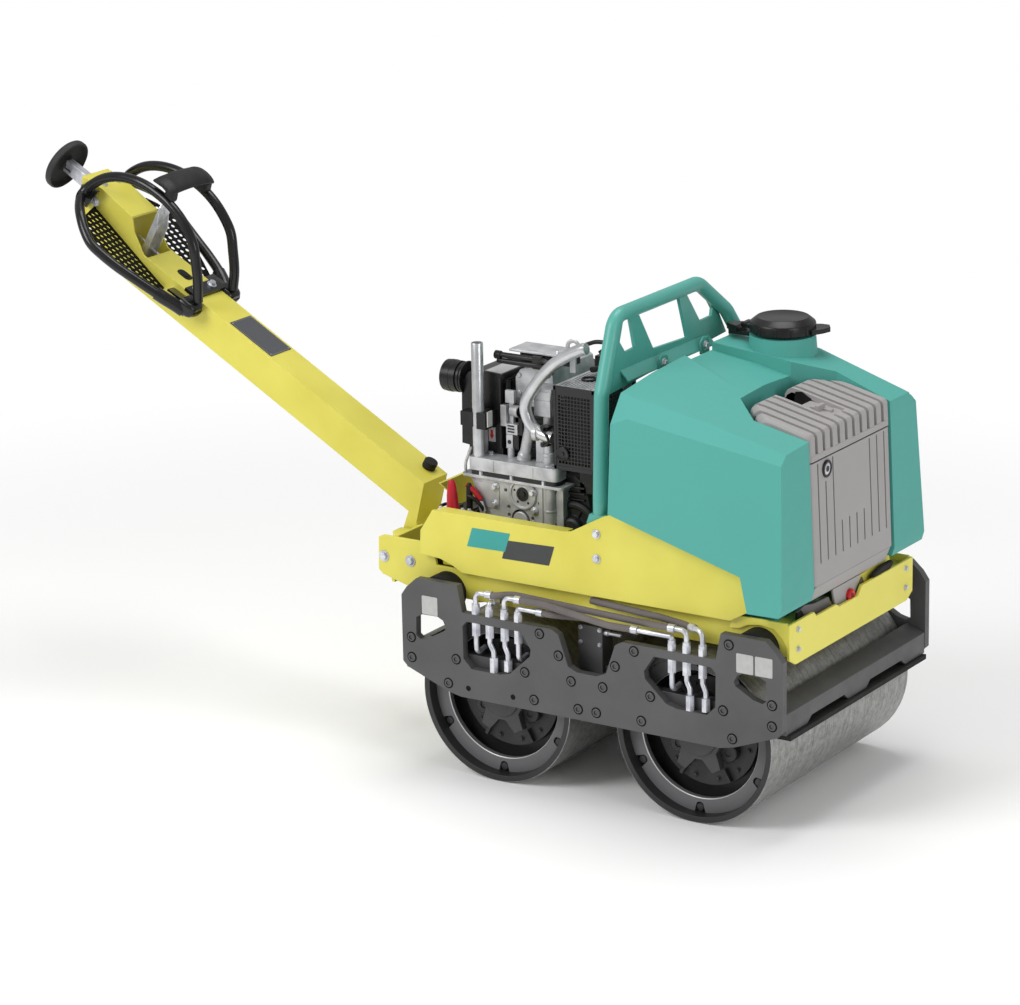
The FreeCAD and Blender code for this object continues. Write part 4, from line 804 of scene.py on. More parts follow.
HOLE_RADIUS, HOLE_PITCH, ROW_PITCH, ROW_SHIFT = 5.5, 15.3, 17.5, 2.5
GUARD = [(-1155, 0), (-1128, 75), (-1103, 93), (-1078, 104), (-1048, 110), (-1009, 105), (-961, 95),
         (-911, 81), (-870, 68), (-884, 0)]
holes = []
for row in range(6):
    for k in range(-1, 20):
        spot = (-1148.8 + HOLE_PITCH * k + ROW_SHIFT * row, 13 + ROW_PITCH * row)
        if all(inside(p, GUARD) for p in ring_loop(*spot, HOLE_RADIUS + 3, 12)):
            holes.append(ring_loop(*spot, HOLE_RADIUS, 14))
mesh = bmesh.new()
for way in (-1, 1):
    sheet(mesh, GUARD, holes, lambda u, v: (u, way * (50.2 + v), 159 - 0.21 * (u + 1155) + 0.117 * v),
          (0, 0, 3))
guards = piece("handle_guard_mesh", mesh, matt_black, "drawbar", LEANED)
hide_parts("handle_guards")

# ---------------------------------------------------------------- drawbar bolts
# Zinc-plated hexagon bolts on the clamp, at the nose and under the beam, and the two small
# ones of the hood.
mesh = bmesh.new()
for way in (-1, 1):
    hex_bolt(mesh, (-811, way * 30, 149), (0, 0, 1), 8.5, 12.5, 8)
    hex_bolt(mesh, (-1157, way * 50, 174), (0, way, 0), 8.5, 12)
    hex_bolt(mesh, (-1166, way * 26, 214), (-0.1, 0, 1), 6, 8, 4)
    hex_bolt(mesh, (-1010, way * 22, 60), (-0.3, 0, -1), 5, 7, 4)
piece("drawbar_bolts", mesh, zinc, "drawbar", LEANED)

# ---------------------------------------------------------------- lever bars
# Two round plated bars inside the hood, on which the hand lever acts. They run along the beam
# from the nose.
mesh = bmesh.new()
lathe(mesh, [(0, 0), (5, 0), (5, 100), (0, 100)], (-1095, -24, 150), (1, 0, -0.28), 14)
lathe(mesh, [(0, 0), (5, 0), (5, 86), (0, 86)], (-1050, 24, 128), (1, 0, -0.1), 14)
piece("lever_bar", mesh, zinc, "drawbar", LEANED)

# ---------------------------------------------------------------- rating plate
# A thin plate of printed aluminium with a lighter edge line, blank and held by four rivets on
# top of the beam.

# Printed aluminium: dark and even, with a dull shine; the line and rivets are bare grey.
plate_metal = powder_coat("printed_aluminium_plate", "#505155", "#46474B", "dark_grey_paint", 0.38)
plate_line = powder_coat("printed_plate_border", "#8A8C8E", "#7F8183", "dark_grey_paint", 0.38)
mesh = bmesh.new()
prism(mesh, [(u, v, 140.8) for u, v in rounded(-685, -545, -42, 42, 3)], (0, 0, 1.2))
prism(mesh, [(u, v, 141.9) for u, v in rounded(-682, -548, -39, 39, 2)], (0, 0, 0.25), 1)
prism(mesh, [(u, v, 142.1) for u, v in rounded(-681, -549, -38, 38, 2)], (0, 0, 0.25))
for u in (-679, -551):
    for v in (-36, 36):
        lathe(mesh, [(2, 0), (2, 0.8), (0, 1.2)], (u, v, 142), (0, 0, 1), 12, 1)
piece("rating_plate", mesh, [plate_metal, plate_line], "drawbar", LEANED)

# ---------------------------------------------------------------- beam plug
# A soft moulded rubber plug, pressed into the slot on top of the beam, with a raised pad in
# the middle.
mesh = bmesh.new()
prism(mesh, [(u, v, 140) for u, v in rounded(-894, -852, -14, 12, 11)], (0, 0, 2.4))
prism(mesh, [(u, v, 142.3) for u, v in rounded(-884, -862, -8, 6, 6)], (0, 0, 2.2))
piece("beam_plug", mesh, black_rubber, "drawbar", LEANED, 0.8)

# ---------------------------------------------------------------- stop pad
# A moulded rubber dish on the rod, hollow towards the beam, with a raised rim and a stepped
# boss. The rim is painted a paler grey for the light it catches.

# Rim rubber: dark grey, painted paler than the black face for the light on the rim, with a little more
# shine.
rim_light_rubber = moulded_rubber("black_rubber_rim_painted_light", "#2C2C2D", "black_rubber", 0.6)
STOP_SPOT = (-1316, 0, 174)
mesh = bmesh.new()
# The outer band and rim take the paler painted light; the hollow is plain black.
lathe(mesh, [(0, 0), (56, 0), (62, 1.5), (66, 5), (67.5, 9), (67.5, 18), (66.5, 20.5), (64, 22)],
      STOP_SPOT, (1, 0, 0), 96)
lathe(mesh, [(64, 22), (61.5, 20.5), (59, 13), (55, 9), (30, 6), (24, 8), (21, 12), (20, 17), (0, 17)],
      STOP_SPOT, (1, 0, 0), 96, 1)
bmesh.ops.remove_doubles(mesh, verts=mesh.verts, dist=0.01)
dish = piece("stop_dish", mesh, [rim_light_rubber, black_rubber], "drawbar", LEANED)
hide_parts("stop_pad")

# ---------------------------------------------------------------- stop bracket
# A folded bar of zinc-plated sheet that carries the stop pad, with a long slot in each side
# for the rod.
mesh = bmesh.new()
slot_hole = [(-1300, 167), (-1277, 167), (-1277, 180), (-1300, 180)]
for way in (-1, 1):
    sheet(mesh, [(-1307, 161), (-1221, 157), (-1221, 190), (-1300, 189), (-1307, 184)], [slot_hole],
          lambda u, v: (u, way * 10, v), (0, way * 2, 0))
prism(mesh, [(-1300, -12, 188), (-1221, -12, 189), (-1221, 12, 189), (-1300, 12, 188)], (0, 0, 2))
prism(mesh, [(x, -7, z) for x, z in ((-1308, 169), (-1284, 169), (-1284, 184), (-1308, 186))],
      (0, 14, 0))
piece("stop_bracket", mesh, zinc, "drawbar", LEANED, 0.6)

# ---------------------------------------------------------------- palm grip
# A saddle of soft black plastic moulded over both tubes. It is domed across, arches a little
# in the middle and swells near its ends, and a foot under each end grips a tube.

# Soft moulded plastic: black with a leathery skin and a soft sheen.
grip_rubber = moulded_rubber("moulded_grip_rubber", "#141415", "black_plastic", 0.5)
GRIP_WIDE, GRIP_HALF, GRIP_ARCH, GRIP_SWELL = 89, 33, 9, 3.0
mesh = bmesh.new()
rings = []
for k in range(33):
    t = -1 + k / 16
    arch = GRIP_ARCH * (1 - t * t)
    swell = GRIP_SWELL * math.exp(-((abs(t) - 0.72) / 0.12) ** 2)
    rings.append([(-982 + GRIP_HALF * u, t * GRIP_WIDE, v + arch + (swell if v > 352 else 0))
                  for u, v in (
        (-0.99, 346.5), (-1, 350), (-0.84, 354.5), (-0.45, 358), (0, 359), (0.45, 357), (0.82, 353),
        (1, 348), (0.99, 343.5), (0.8, 345.5), (0.4, 350), (0, 351.5), (-0.4, 351), (-0.8, 349))])
loft(mesh, rings)
grip = piece("palm_saddle", mesh, grip_rubber, "drawbar", LEANED)
soft = grip.modifiers.new("soft", "SUBSURF")
soft.levels = soft.render_levels = 1
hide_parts("palm_grip")
mesh = bmesh.new()
for way in (-1, 1):
    prism(mesh, [(x, way * 68 - 11, z) for x, z in ((-976, 352), (-974, 328), (-966, 316), (-954, 316),
                                                    (-946, 330), (-950, 348))], (0, 22, 0))
piece("palm_saddle_feet", mesh, grip_rubber, "drawbar", LEANED, 3.0, 3)

# ---------------------------------------------------------------- air filter and fan cowl
# Two covers of moulded plastic on the diesel engine: the filter's box with its round intake,
# and the cowl round the cooling fan. Both are clipped to the castings.

# Moulded plastic: near black, with a sheen that is broken by a fine grain.
black_plastic = moulded_rubber("moulded_black_plastic", "#101011", "black_plastic", 0.32)
dress(["air_filter"], black_plastic, 4.0)
dress(["fan_cowl"], black_plastic, 3.0)

# ---------------------------------------------------------------- crankcase
# The block of an open one-cylinder diesel, sand cast in aluminium. A machined plate with
# bosses and bores closes its near face, and a bearing cover is screwed to that.
HERE = Matrix.Translation((MIDDLE, 0, 0))


def casting(name, light, dark, slot, roughness, metal=0.0):
    """Sand-cast metal: a cloudy tone and a coarse sandy skin."""
    made, tree, shader = new_material(name, light, roughness, metal, slot)
    place = add(tree, "ShaderNodeTexCoord").outputs["Object"]
    cloud = add(tree, "ShaderNodeTexNoise", {"Vector": place, "Scale": 1000 / 35, "Detail": 5.0})
    span = add(tree, "ShaderNodeMapRange",
               {"Value": cloud.outputs[0], "From Min": 0.35, "From Max": 0.7})
    tone = add(tree, "ShaderNodeMix", {0: span.outputs[0], 6: colour(light), 7: colour(dark)},
               data_type="RGBA")
    tree.links.new(tone.outputs[2], shader.inputs["Base Color"])
    sand = add(tree, "ShaderNodeTexNoise", {"Vector": place, "Scale": 1000 / 2.5, "Detail": 3.0})
    bump = add(tree, "ShaderNodeBump", {"Height": sand.outputs[0], "Strength": 0.3, "Distance": 0.0005})
    tree.links.new(bump.outputs[0], shader.inputs["Normal"])
    return made


def block(mesh, low, high):
    """A rectangular block between two corners."""
    outline = [low, (high[0], low[1], low[2]), (high[0], high[1], low[2]), (low[0], high[1], low[2])]
    prism(mesh, outline, (0, 0, high[2] - low[2]))


# Bare cast aluminium is pale with a grey cloud and a sandy grain, drawn 2.5 mm coarse so that
# it shows. Drawn tube is smoother and shinier, and dark castings wear a thin black coat.
cast_alloy = casting("sand_cast_aluminium", "#CFD0D2", "#A8A9AB", "cast_metal", 0.4, 0.4)
drawn_tube = casting("drawn_alloy_tube", "#D2D3D5", "#BDBEC0", "cast_metal", 0.3, 0.75)
dark_cast = casting("black_coated_casting", "#232524", "#181A19", "cast_metal", 0.5)

# Small blind bores of the near plate, and the bosses for its bolts, along and up.
BORES = [(-314, 660), (-306, 621), (-306, 602), (-241, 602), (-331, 587), (-331, 560), (-222, 640),
         (-245, 575), (-300, 572)]
BORE_RADIUS = 4.5
BOSSES = ((-341, 664), (-342, 623), (-238, 664), (-235, 621))
mesh = bmesh.new()
prism(mesh, [(x, -178, z) for x, z in ((-402, 683), (-381, 631), (-364, 578), (-350, 540), (-350, 478),
                                       (-165, 478), (-165, 683))], (0, 328, 0))
bores = [ring_loop(x, z, BORE_RADIUS, 14) for x, z in BORES] + [ring_loop(-274, 594, 25, 32)]
sheet(mesh, [(-408, 676), (-385, 631), (-368, 578), (-362, 520), (-203, 520), (-196, 683), (-408, 683)],
      bores, lambda u, v: (u, -190, v), (0, 12, 0))
block(mesh, (-398, -192.5, 612), (-331, -189, 670))
block(mesh, (-222, -193, 520), (-212, -189, 683))
lathe(mesh, [(37, -1), (37, 4), (35, 5.5), (31.5, 5.5), (30, 4), (30, 1.5), (19, 1.5), (18.5, 3),
             (17, 3)],
      (-266, -190, 657), (0, -1, 0), 48)
lathe(mesh, [(20, -10), (20, 1), (18, 2.5), (0, 3)], (-274, -190, 594), (0, -1, 0), 40)
lathe(mesh, [(14, 0), (14, 143), (15.5, 144), (15.5, 148), (14, 149), (14, 205)], (-199, -178, 478),
      (0, 0, 1), 32)
for x, z in BOSSES:
    lathe(mesh, [(11, -3), (11, 2.5), (9.5, 3.5), (0, 3.5)], (x, -190, z), (0, -1, 0), 24)
for x in (-390, -300, -260, -205):
    block(mesh, (x, 150, 500), (x + 7, 154, 670))
block(mesh, (-402, 149, 655), (-165, 156, 664))
engine = piece("engine_casting", mesh, cast_alloy, "machine", HERE, 1.2)

# ---------------------------------------------------------------- cylinder and rocker cover
# A cast cylinder with thin cooling fins, black from its coat, under a rounded rocker cover
# of bare cast aluminium that four screws hold.
FINS, FIN_PITCH, FIN_THICK = 16, 9.6, 3.4
mesh = bmesh.new()
block(mesh, (-324, -124, 683), (-192, 84, 845))
for k in range(FINS):
    foot = 690 + FIN_PITCH * k
    block(mesh, (-330, -130, foot), (-184, 90, foot + FIN_THICK))
piece("finned_cylinder", mesh, dark_cast, "machine", HERE)
mesh = bmesh.new()
prism(mesh, [(x, -120, z) for x, z in ((-326, 846), (-327, 911), (-314, 931), (-300, 936), (-241, 946),
                                       (-228, 938), (-224, 912), (-222, 846))], (0, 180, 0))
block(mesh, (-330, -124, 858), (-219, 64, 866))
for x, z in ((-316, 917), (-237, 925), (-316, 876), (-234, 876)):
    lathe(mesh, [(6, -2), (6, 2), (4.5, 3.4), (0, 3.6)], (x, -120, z), (0, -1, 0), 18)
piece("rocker_cover", mesh, cast_alloy, "machine", HERE, 5.0, 3)

# ---------------------------------------------------------------- stand tube
# A straight drawn aluminium tube, open at the top, that rises beside the air filter from the
# gear housing.
mesh = bmesh.new()
lathe(mesh, [(14, 0), (14, 268), (13.4, 269), (11.5, 269), (11.5, 200), (0, 200)], (-388, -185, 731),
      (0, 0, 1), 40)
stand = piece("stand_tube", mesh, drawn_tube, "machine", HERE)
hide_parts("stand_pipe")

# ---------------------------------------------------------------- breather tube
# A wide drawn aluminium tube, bent from the silencer's guard round the head and up past the
# roll bar, with a plugged end.
mesh = bmesh.new()
cable(mesh, [(x, -200, z) for x, z in ((-176, 805), (-192, 807), (-213, 813), (-235, 830), (-248, 857),
                                       (-247, 881), (-231, 910), (-206, 944), (-168, 981), (-128, 1007),
                                       (-97, 1022), (-86, 1025))], 14, 28)
lathe(mesh, [(14, 0), (13, 3), (10, 4.5), (0, 4.5)], (-86, -200, 1025), (1, 0, 0.25), 28)
breather = piece("breather_tube", mesh, drawn_tube, "machine", HERE)
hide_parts("breather_pipe")

# ---------------------------------------------------------------- bell housing
# A ribbed aluminium casting with a thin black coat, bolted to the crankcase. It covers the
# flywheel, and a thin pipe runs down its face.
mesh = bmesh.new()
prism(mesh, [(x, -150, z) for x, z in ((-186, 478), (-112, 478), (-106, 560), (-108, 630), (-124, 690),
                                       (-150, 704), (-186, 704))], (0, 270, 0))
lathe(mesh, [(64, -2), (64, 8), (58, 13), (50, 13), (46, 8), (30, 8), (26, 20), (20, 24), (0, 24)],
      (-150, -150, 585), (0, -1, 0), 48)
for k in range(7):
    angle = math.radians(20 + 45 * k)
    prism(mesh, [(-150 + r * math.cos(angle + s), -162, 585 + r * math.sin(angle + s))
                 for r, s in ((28, -0.1), (60, -0.05), (60, 0.05), (28, 0.1))], (0, 8, 0))
for z in (650, 664, 678):
    block(mesh, (-182, -156, z), (-122, -149, z + 5))
cable(mesh, [(-176, -172, 690), (-192, -176, 655), (-196, -178, 620), (-180, -176, 560),
             (-176, -172, 500)], 5)
piece("bell_housing", mesh, dark_cast, "machine", HERE, 1.5)
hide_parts("engine_block")

# ---------------------------------------------------------------- engine bolts and hub
# Zinc-plated bolts with washers on the bosses, the housings and the head. The bearing's dark
# hub has five holes round it, drawn as dark discs for their painted shade, and a dark ring at
# the back of the gap in the opening under it is painted shade too.
mesh = bmesh.new()
for x, z in BOSSES:
    hex_bolt(mesh, (x, -193.5, z), (0, -1, 0), 6.5, 9)
hex_bolt(mesh, (-205, -128, 983), (0, 0, 1), 5, 7, 4)
hex_bolt(mesh, (-373, -160, 731), (0, 0, 1), 7, 10, 5)
for x in (-376, -292, -205):
    lathe(mesh, [(5.5, 0), (5.5, 10), (0, 10)], (x, -197, 689), (0, 0, 1), 6)
piece("engine_bolts", mesh, zinc, "machine", HERE, 0.4)
HUB_HOLES, HOLE_CIRCLE = 5, 24
mesh = bmesh.new()
lathe(mesh, [(17, 0), (17, 2), (12, 2), (12, 0.5), (6, 0.5), (6, 4), (0, 4)], (-266, -190, 657),
      (0, -1, 0), 28)
# The five holes are dark discs, painted shade.
for k in range(HUB_HOLES):
    angle = math.radians(18 + 360 / HUB_HOLES * k)
    spot = (-266 + HOLE_CIRCLE * math.cos(angle), -190, 657 + HOLE_CIRCLE * math.sin(angle))
    lathe(mesh, [(3, 0), (3, 1.9), (0, 1.9)], spot, (0, -1, 0), 14)
# A dark ring at the back of the gap round the bore's boss, painted shade.
lathe(mesh, [(24.8, 0), (24.8, 0.4), (20, 0.4)], (-274, -179, 594), (0, -1, 0), 40)
piece("engine_hub_and_painted_hole_shade", mesh, dark_cast, "machine", HERE)

# ---------------------------------------------------------------- gear housing
# A cast aluminium box over the gears, bolted down on a dark gasket. Under the gasket lies the
# crankcase's wide flange.
mesh = bmesh.new()
prism(mesh, [(x, y, 700) for x, y in rounded(-411, -167, -202, -150, 15, 6)], (0, 0, 31))
prism(mesh, [(x, y, 682) for x, y in rounded(-430, -152, -202, -130, 14, 6)], (0, 0, 7))
for low_x, high_x in ((-351, -338), (-240, -230)):
    block(mesh, (low_x, -203.4, 703), (high_x, -201, 728))
lathe(mesh, [(14, -1), (14, 2), (12, 3.5), (0, 3.5)], (-200, -180, 731), (0, 0, 1), 28)
lathe(mesh, [(8, -1), (8, 20), (6.5, 22), (0, 22)], (-318, -158, 731), (0, 0, 1), 20)
prism(mesh, [(x, y, 688) for x, y in rounded(-407, -171, -198, -152, 12, 6)], (0, 0, 13), 1)
cover = piece("gear_housing", mesh, [cast_alloy, dark_cast], "machine", HERE, 3.0, 3)
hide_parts("gear_cover")

# ---------------------------------------------------------------- engine tubes and brackets
# The pushrod tube, the oil column and small brackets, of pale cast aluminium. They stand
# between the air filter and the silencer's guard, screwed to the gear housing.
mesh = bmesh.new()
lathe(mesh, [(17, 0), (17, 5), (15.5, 6), (15.5, 14), (14, 16), (12.2, 22), (12.2, 78), (14, 84),
             (14, 90)],
      (-278, -166, 732), (0.22, 0, 1), 28)
lathe(mesh, [(13, 0), (13, 20), (14.5, 22), (14.5, 27), (11, 30), (11, 56), (13, 58), (13, 64),
             (11, 66), (11, 118)], (-209, -168, 730), (0, 0, 1), 28)
block(mesh, (-238, -182, 846), (-194, -150, 884))
prism(mesh, [(-246, -186, 906), (-188, -186, 906), (-188, -140, 906), (-246, -140, 906)], (0, 0, 8))
loft(mesh, [[(x, y, 884) for x, y in rounded(-238, -194, -182, -150, 4)],
            [(x, y, 906) for x, y in rounded(-246, -188, -186, -140, 4)]])
block(mesh, (-246, -164, 731), (-225, -136, 812))
block(mesh, (-347, -156, 801), (-331, -140, 851))
block(mesh, (-333, -156, 858), (-309, -146, 888))
block(mesh, (-331, -158, 784), (-300, -138, 809))
block(mesh, (-331, -158, 750), (-313, -140, 783))
block(mesh, (-329, -146, 740), (-318, -136, 880))
lathe(mesh, [(14, 0), (14, 20), (12.5, 22), (0, 22)], (-322, -142, 838), (1, -0.15, 0), 24)
lathe(mesh, [(17.5, -3), (17.5, 7), (16, 8.5), (14, 8.5)], (-222, -200, 811), (1, 0, 0), 28)
block(mesh, (-404, -174, 731), (-384, -152, 801))
cable(mesh, [(-404, -195, 752), (-412, -195, 732), (-421, -193, 710), (-423, -190, 687)], 3.5)
piece("engine_tubes", mesh, cast_alloy, "machine", HERE, 1.6)

# ---------------------------------------------------------------- engine clamps
# Clamps and connectors of moulded black plastic on the tubes and brackets, with thin black
# cables between them.
mesh = bmesh.new()
block(mesh, (-430, -198, 802), (-396, -168, 836))
block(mesh, (-384, -201, 799), (-359, -152, 838))
for z in (789, 796, 803):
    block(mesh, (-326, -159.5, z), (-308, -157, z + 3.2))
lathe(mesh, [(5, 0), (5, 1), (0, 1)], (-322, -158, 766), (0, -1, 0), 16)
block(mesh, (-312, -156, 750), (-298, -138, 783))
block(mesh, (-299, -154, 784), (-288, -134, 826))
lathe(mesh, [(12, 0), (12, 0.6), (0, 0.6)], (-300, -145.3, 838), (1, -0.15, 0), 24)
for z in (788, 826):
    block(mesh, (-207, -206, z - 4), (-188, -182, z + 4))
    lathe(mesh, [(4, 0), (4, 10), (0, 10)], (-196, -206, z), (0, -1, 0), 14)
cable(mesh, [(-196, -212, 822), (-184, -214, 812), (-180, -214, 798), (-194, -212, 786)], 3)
cable(mesh, [(-300, -130, 870), (-296, -134, 840), (-300, -136, 800), (-292, -132, 745)], 5)
cable(mesh, [(-340, -132, 905), (-338, -138, 870), (-342, -136, 820), (-340, -132, 745)], 6)
block(mesh, (-158, -45, 940), (-92, 10, 966))
piece("engine_clamps", mesh, black_plastic, "machine", HERE, 1.0)

# ---------------------------------------------------------------- cowl lid and duct
# A thin pressed aluminium lid over a black plastic duct, screwed to the cowl. Two rubber
# hoses run along its edge, and thinner ones bend down behind it.
mesh = bmesh.new()
prism(mesh, [(-331, -140, 977), (-178, -140, 977), (-192, -64, 977), (-331, -64, 977)], (0, 0, 6))
cowl = piece("cowl_lid", mesh, cast_alloy, "machine", HERE, 2.0, 3)
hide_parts("engine_cowl")
mesh = bmesh.new()
prism(mesh, [(x, -104, z) for x, z in ((-324, 946), (-225, 948), (-186, 948), (-186, 973),
                                       (-324, 973))],
      (0, 42, 0))
for y, z in ((-144, 967), (-147, 954)):
    cable(mesh, [(-357, y, z), (-320, y, z), (-280, y, z), (-250, y, z), (-226, y - 4, z - 2),
                 (-205, y - 2, z - 12)], 6.5)
lathe(mesh, [(10, 0), (10, 14), (8, 16), (0, 16)], (-364, -144, 966), (1, 0, 0), 20)
cable(mesh, [(-150, -95, 1004), (-120, -95, 1014), (-85, -95, 1012), (-60, -95, 995),
             (-66, -92, 960)], 5)
cable(mesh, [(-96, -120, 1004), (-84, -118, 985), (-100, -110, 960), (-130, -105, 950)], 7)
block(mesh, (-262, -150, 945), (-236, -134, 976))
piece("cowl_duct", mesh, black_plastic, "machine", HERE, 1.5)

# ---------------------------------------------------------------- lifting eye
# A round forged eye on a flat bar, bolted to the head and as pale as the castings. The whole
# engine is lifted by it.
mesh = bmesh.new()
lathe(mesh, [(8, 0), (9.5, -3), (15.5, -3.5), (18, 0), (15.5, 3.5), (9.5, 3), (8, 0)],
      (-171, -117, 1002), (0.25, -1, 0), 36)
block(mesh, (-179, -120, 940), (-163, -114, 987))
bmesh.ops.remove_doubles(mesh, verts=mesh.verts, dist=0.01)
piece("lifting_eye", mesh, cast_alloy, "machine", HERE, 0.8)

# ---------------------------------------------------------------- air filter trim
# Vinyl labels on the filter's box, blank but for a red arrow. Moulded black ribs, buckles and
# intake rings stand out from it.

# Vinyl film: silver and plain on top, and a clear red for the arrow and the side patch.
silver_vinyl = powder_coat("silver_vinyl_label", "#BDBDBC", "#ABABAA", "black_plastic", 0.35)
red_vinyl = powder_coat("red_vinyl_patch", "#D01F1B", "#B91B18", "black_plastic", 0.35)
mesh = bmesh.new()
prism(mesh, [(-392, -146, 924.2), (-349, -146, 921.4), (-349, -32, 921.4), (-392, -32, 924.2)],
      (0, 0, 0.8))
block(mesh, (-382, -153.2, 759), (-364, -150.5, 793))
prism(mesh, [(x, -153.8, z) for x, z in ((-376, 787), (-370, 787), (-370, 775), (-367, 775),
                                         (-373, 765), (-379, 775), (-376, 775))], (0, 0.8, 0), 1)
block(mesh, (-356, -199, 806), (-353, -180, 842))
piece("filter_labels", mesh, [silver_vinyl, red_vinyl], "machine", HERE)
mesh = bmesh.new()
lathe(mesh, [(36, -2), (38, -1), (38, 14), (36, 15)], (-500, -128, 896), (1, 0, 0), 40)
lathe(mesh, [(32, 0), (36.5, 1), (36.5, 7), (34, 9), (32, 9)], (-467, -128, 896), (1, 0, 0), 40)
lathe(mesh, [(33, 0), (39, 0), (39, 5), (33, 5)], (-456, -128, 896), (1, 0, 0), 40)
for x in (-352, -420):
    block(mesh, (x, -154, 745), (x + 6, -149, 914))
for z in (780, 880):
    block(mesh, (-426, -156, z), (-410, -150, z + 26))
    block(mesh, (-345, -110, z), (-341, -90, z + 30))
block(mesh, (-345, -140, 744), (-340, -30, 752))
block(mesh, (-345, -140, 900), (-340, -30, 908))
piece("filter_ribs", mesh, black_plastic, "machine", HERE, 1.0)

# ---------------------------------------------------------------- silencer and its guard
# Black painted sheet punched with rows of square holes, under a paler lid with round ones. It
# is bolted round a dull steel silencer, and a plug sits low on its near face.
GUARD_HOLE, GUARD_ROW, GUARD_ROWS, GUARD_EDGE = 3.05, 8.5, 19, 9
LID_HOLE, LID_PITCH = 3.0, 8.2
mesh = bmesh.new()
faces = ((-152, -48, lambda u, v: (u, -230, v), (0, 1.5, 0), 10),
         (-228, -52, lambda u, v: (-152, u, v), (1.5, 0, 0), 18),
         (-228, -52, lambda u, v: (-48, u, v), (-1.5, 0, 0), 18))
for low_u, high_u, at, thick, columns in faces:
    holes = []
    step = (high_u - low_u - 2 * GUARD_EDGE) / columns
    for column in range(columns):
        for row in range(GUARD_ROWS):
            u, v = low_u + GUARD_EDGE + step * (column + 0.5), 762 + GUARD_ROW * row
            holes.append([(u + a * GUARD_HOLE, v + b * GUARD_HOLE)
                          for a, b in ((-1, -1), (1, -1), (1, 1), (-1, 1))])
    sheet(mesh, [(low_u, 744), (high_u, 744), (high_u, 938), (low_u, 938)], holes, at, thick)
holes = [ring_loop(-142 + LID_PITCH * column, -220 + LID_PITCH * (row + column % 2 / 2), LID_HOLE, 8)
         for column in range(11) for row in range(20)]
sheet(mesh, [(-153, -230.5), (-47, -230.5), (-47, -50), (-153, -50)], holes, lambda u, v: (u, v, 938.2),
      (0, 0, 0.6), 1)
for y in (-231, -56):
    for x in (-154, -52):
        block(mesh, (x, y, 744), (x + 6, y + 6, 938))
    for z in (744, 930):
        block(mesh, (-154, y, z), (-46, y + 5, z + 9))
lathe(mesh, [(17, 0), (17, 3), (15, 4.5), (11, 3), (5, 3), (5, 5), (0, 5)], (-131, -230.5, 782),
      (0, -1, 0), 32)
guard = piece("silencer_guard", mesh, [black_paint, cast_alloy], "machine", HERE)
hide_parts("exhaust_guard")
mesh = bmesh.new()
loft(mesh, [[(x, y, z) for x, y in rounded(-140 + s, -60 - s, -218 + s, -66 - s, 20, 6)]
            for z, s in ((748, 12), (760, 0), (915, 0), (928, 12))])
lathe(mesh, [(22, 0), (22, 70), (26, 72), (26, 80), (0, 80)], (-120, -60, 840), (-0.6, 1, 0.1), 28)
lathe(mesh, [(18, 0), (18, 8), (14, 8), (14, 2), (0, 2)], (-108, -150, 936), (0, 0, 1), 28)
block(mesh, (-138, -150, 668), (-68, -62, 746))
piece("silencer", mesh, dark_cast, "machine", HERE, 1.5)

# ---------------------------------------------------------------- battery
# A ribbed black case with a stepped lid, moulded in plastic. It stands in its tray on the
# deck beside the engine.
mesh = bmesh.new()
loft(mesh, [[(x, y, z) for x, y in rounded(-470 + e, -404 - e, -262 + e, -110 - e, 5)]
            for z, e in ((478, 2), (480, 0), (572, 0), (572, -0.8), (590, -0.8), (594, 1.5))])
prism(mesh, [(x, y, 593) for x, y in rounded(-462, -412, -228, -130, 6)], (0, 0, 4))
for k in range(9):
    block(mesh, (-466 + 7 * k, -262.7, 484), (-463 + 7 * k, -261, 568))
case = piece("battery_case", mesh, black_plastic, "machine", HERE, 1.5)
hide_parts("battery")

# ---------------------------------------------------------------- battery leads
# A red rubber boot on one post and a black one on the other, with cables in the same colours
# and zinc-plated lugs bolted to them.

# Red rubber: deep and even, with a faint sheen.
red_rubber = moulded_rubber("moulded_red_rubber", "#C01228", "black_plastic", 0.4)
mesh = bmesh.new()
lathe(mesh, [(15, 0), (15, 17), (13.8, 20), (13, 45), (9.5, 72), (6, 80), (0, 82.5)],
      (-433, -232, 597), (-0.03, 0, 1), 28)
cable(mesh, [(-411, -206, 664), (-398, -204, 655), (-386, -202, 643), (-376, -200, 630)], 6.5)
piece("battery_red", mesh, red_rubber, "machine", HERE, 0.8)
mesh = bmesh.new()
lathe(mesh, [(8, 0), (8, 40), (7, 62), (4, 68), (0, 69)], (-404, -206, 600), (0, 0, 1), 20)
cable(mesh, [(-404, -214, 640), (-388, -212, 634), (-372, -206, 618), (-366, -200, 600)], 4.5)
cable(mesh, [(-470, -224, 600), (-478, -216, 604), (-474, -190, 604), (-440, -180, 602)], 4)
piece("battery_black", mesh, black_plastic, "machine", HERE)
mesh = bmesh.new()
for x, y in ((-470, -244), (-452, -236), (-416, -234), (-400, -230)):
    block(mesh, (x, y, 598), (x + 12, y + 14, 606))
    hex_bolt(mesh, (x + 6, y + 7, 606), (0, 0, 1), 4.5, 6.5, 4)
loft(mesh, [[(x, y, z) for x, y in rounded(cx - w, cx + w, -206, -198, 3)]
            for cx, w, z in ((-369, 7, 600), (-372, 8, 612), (-376, 6, 628))])
piece("battery_lugs", mesh, zinc, "machine", HERE, 0.6)

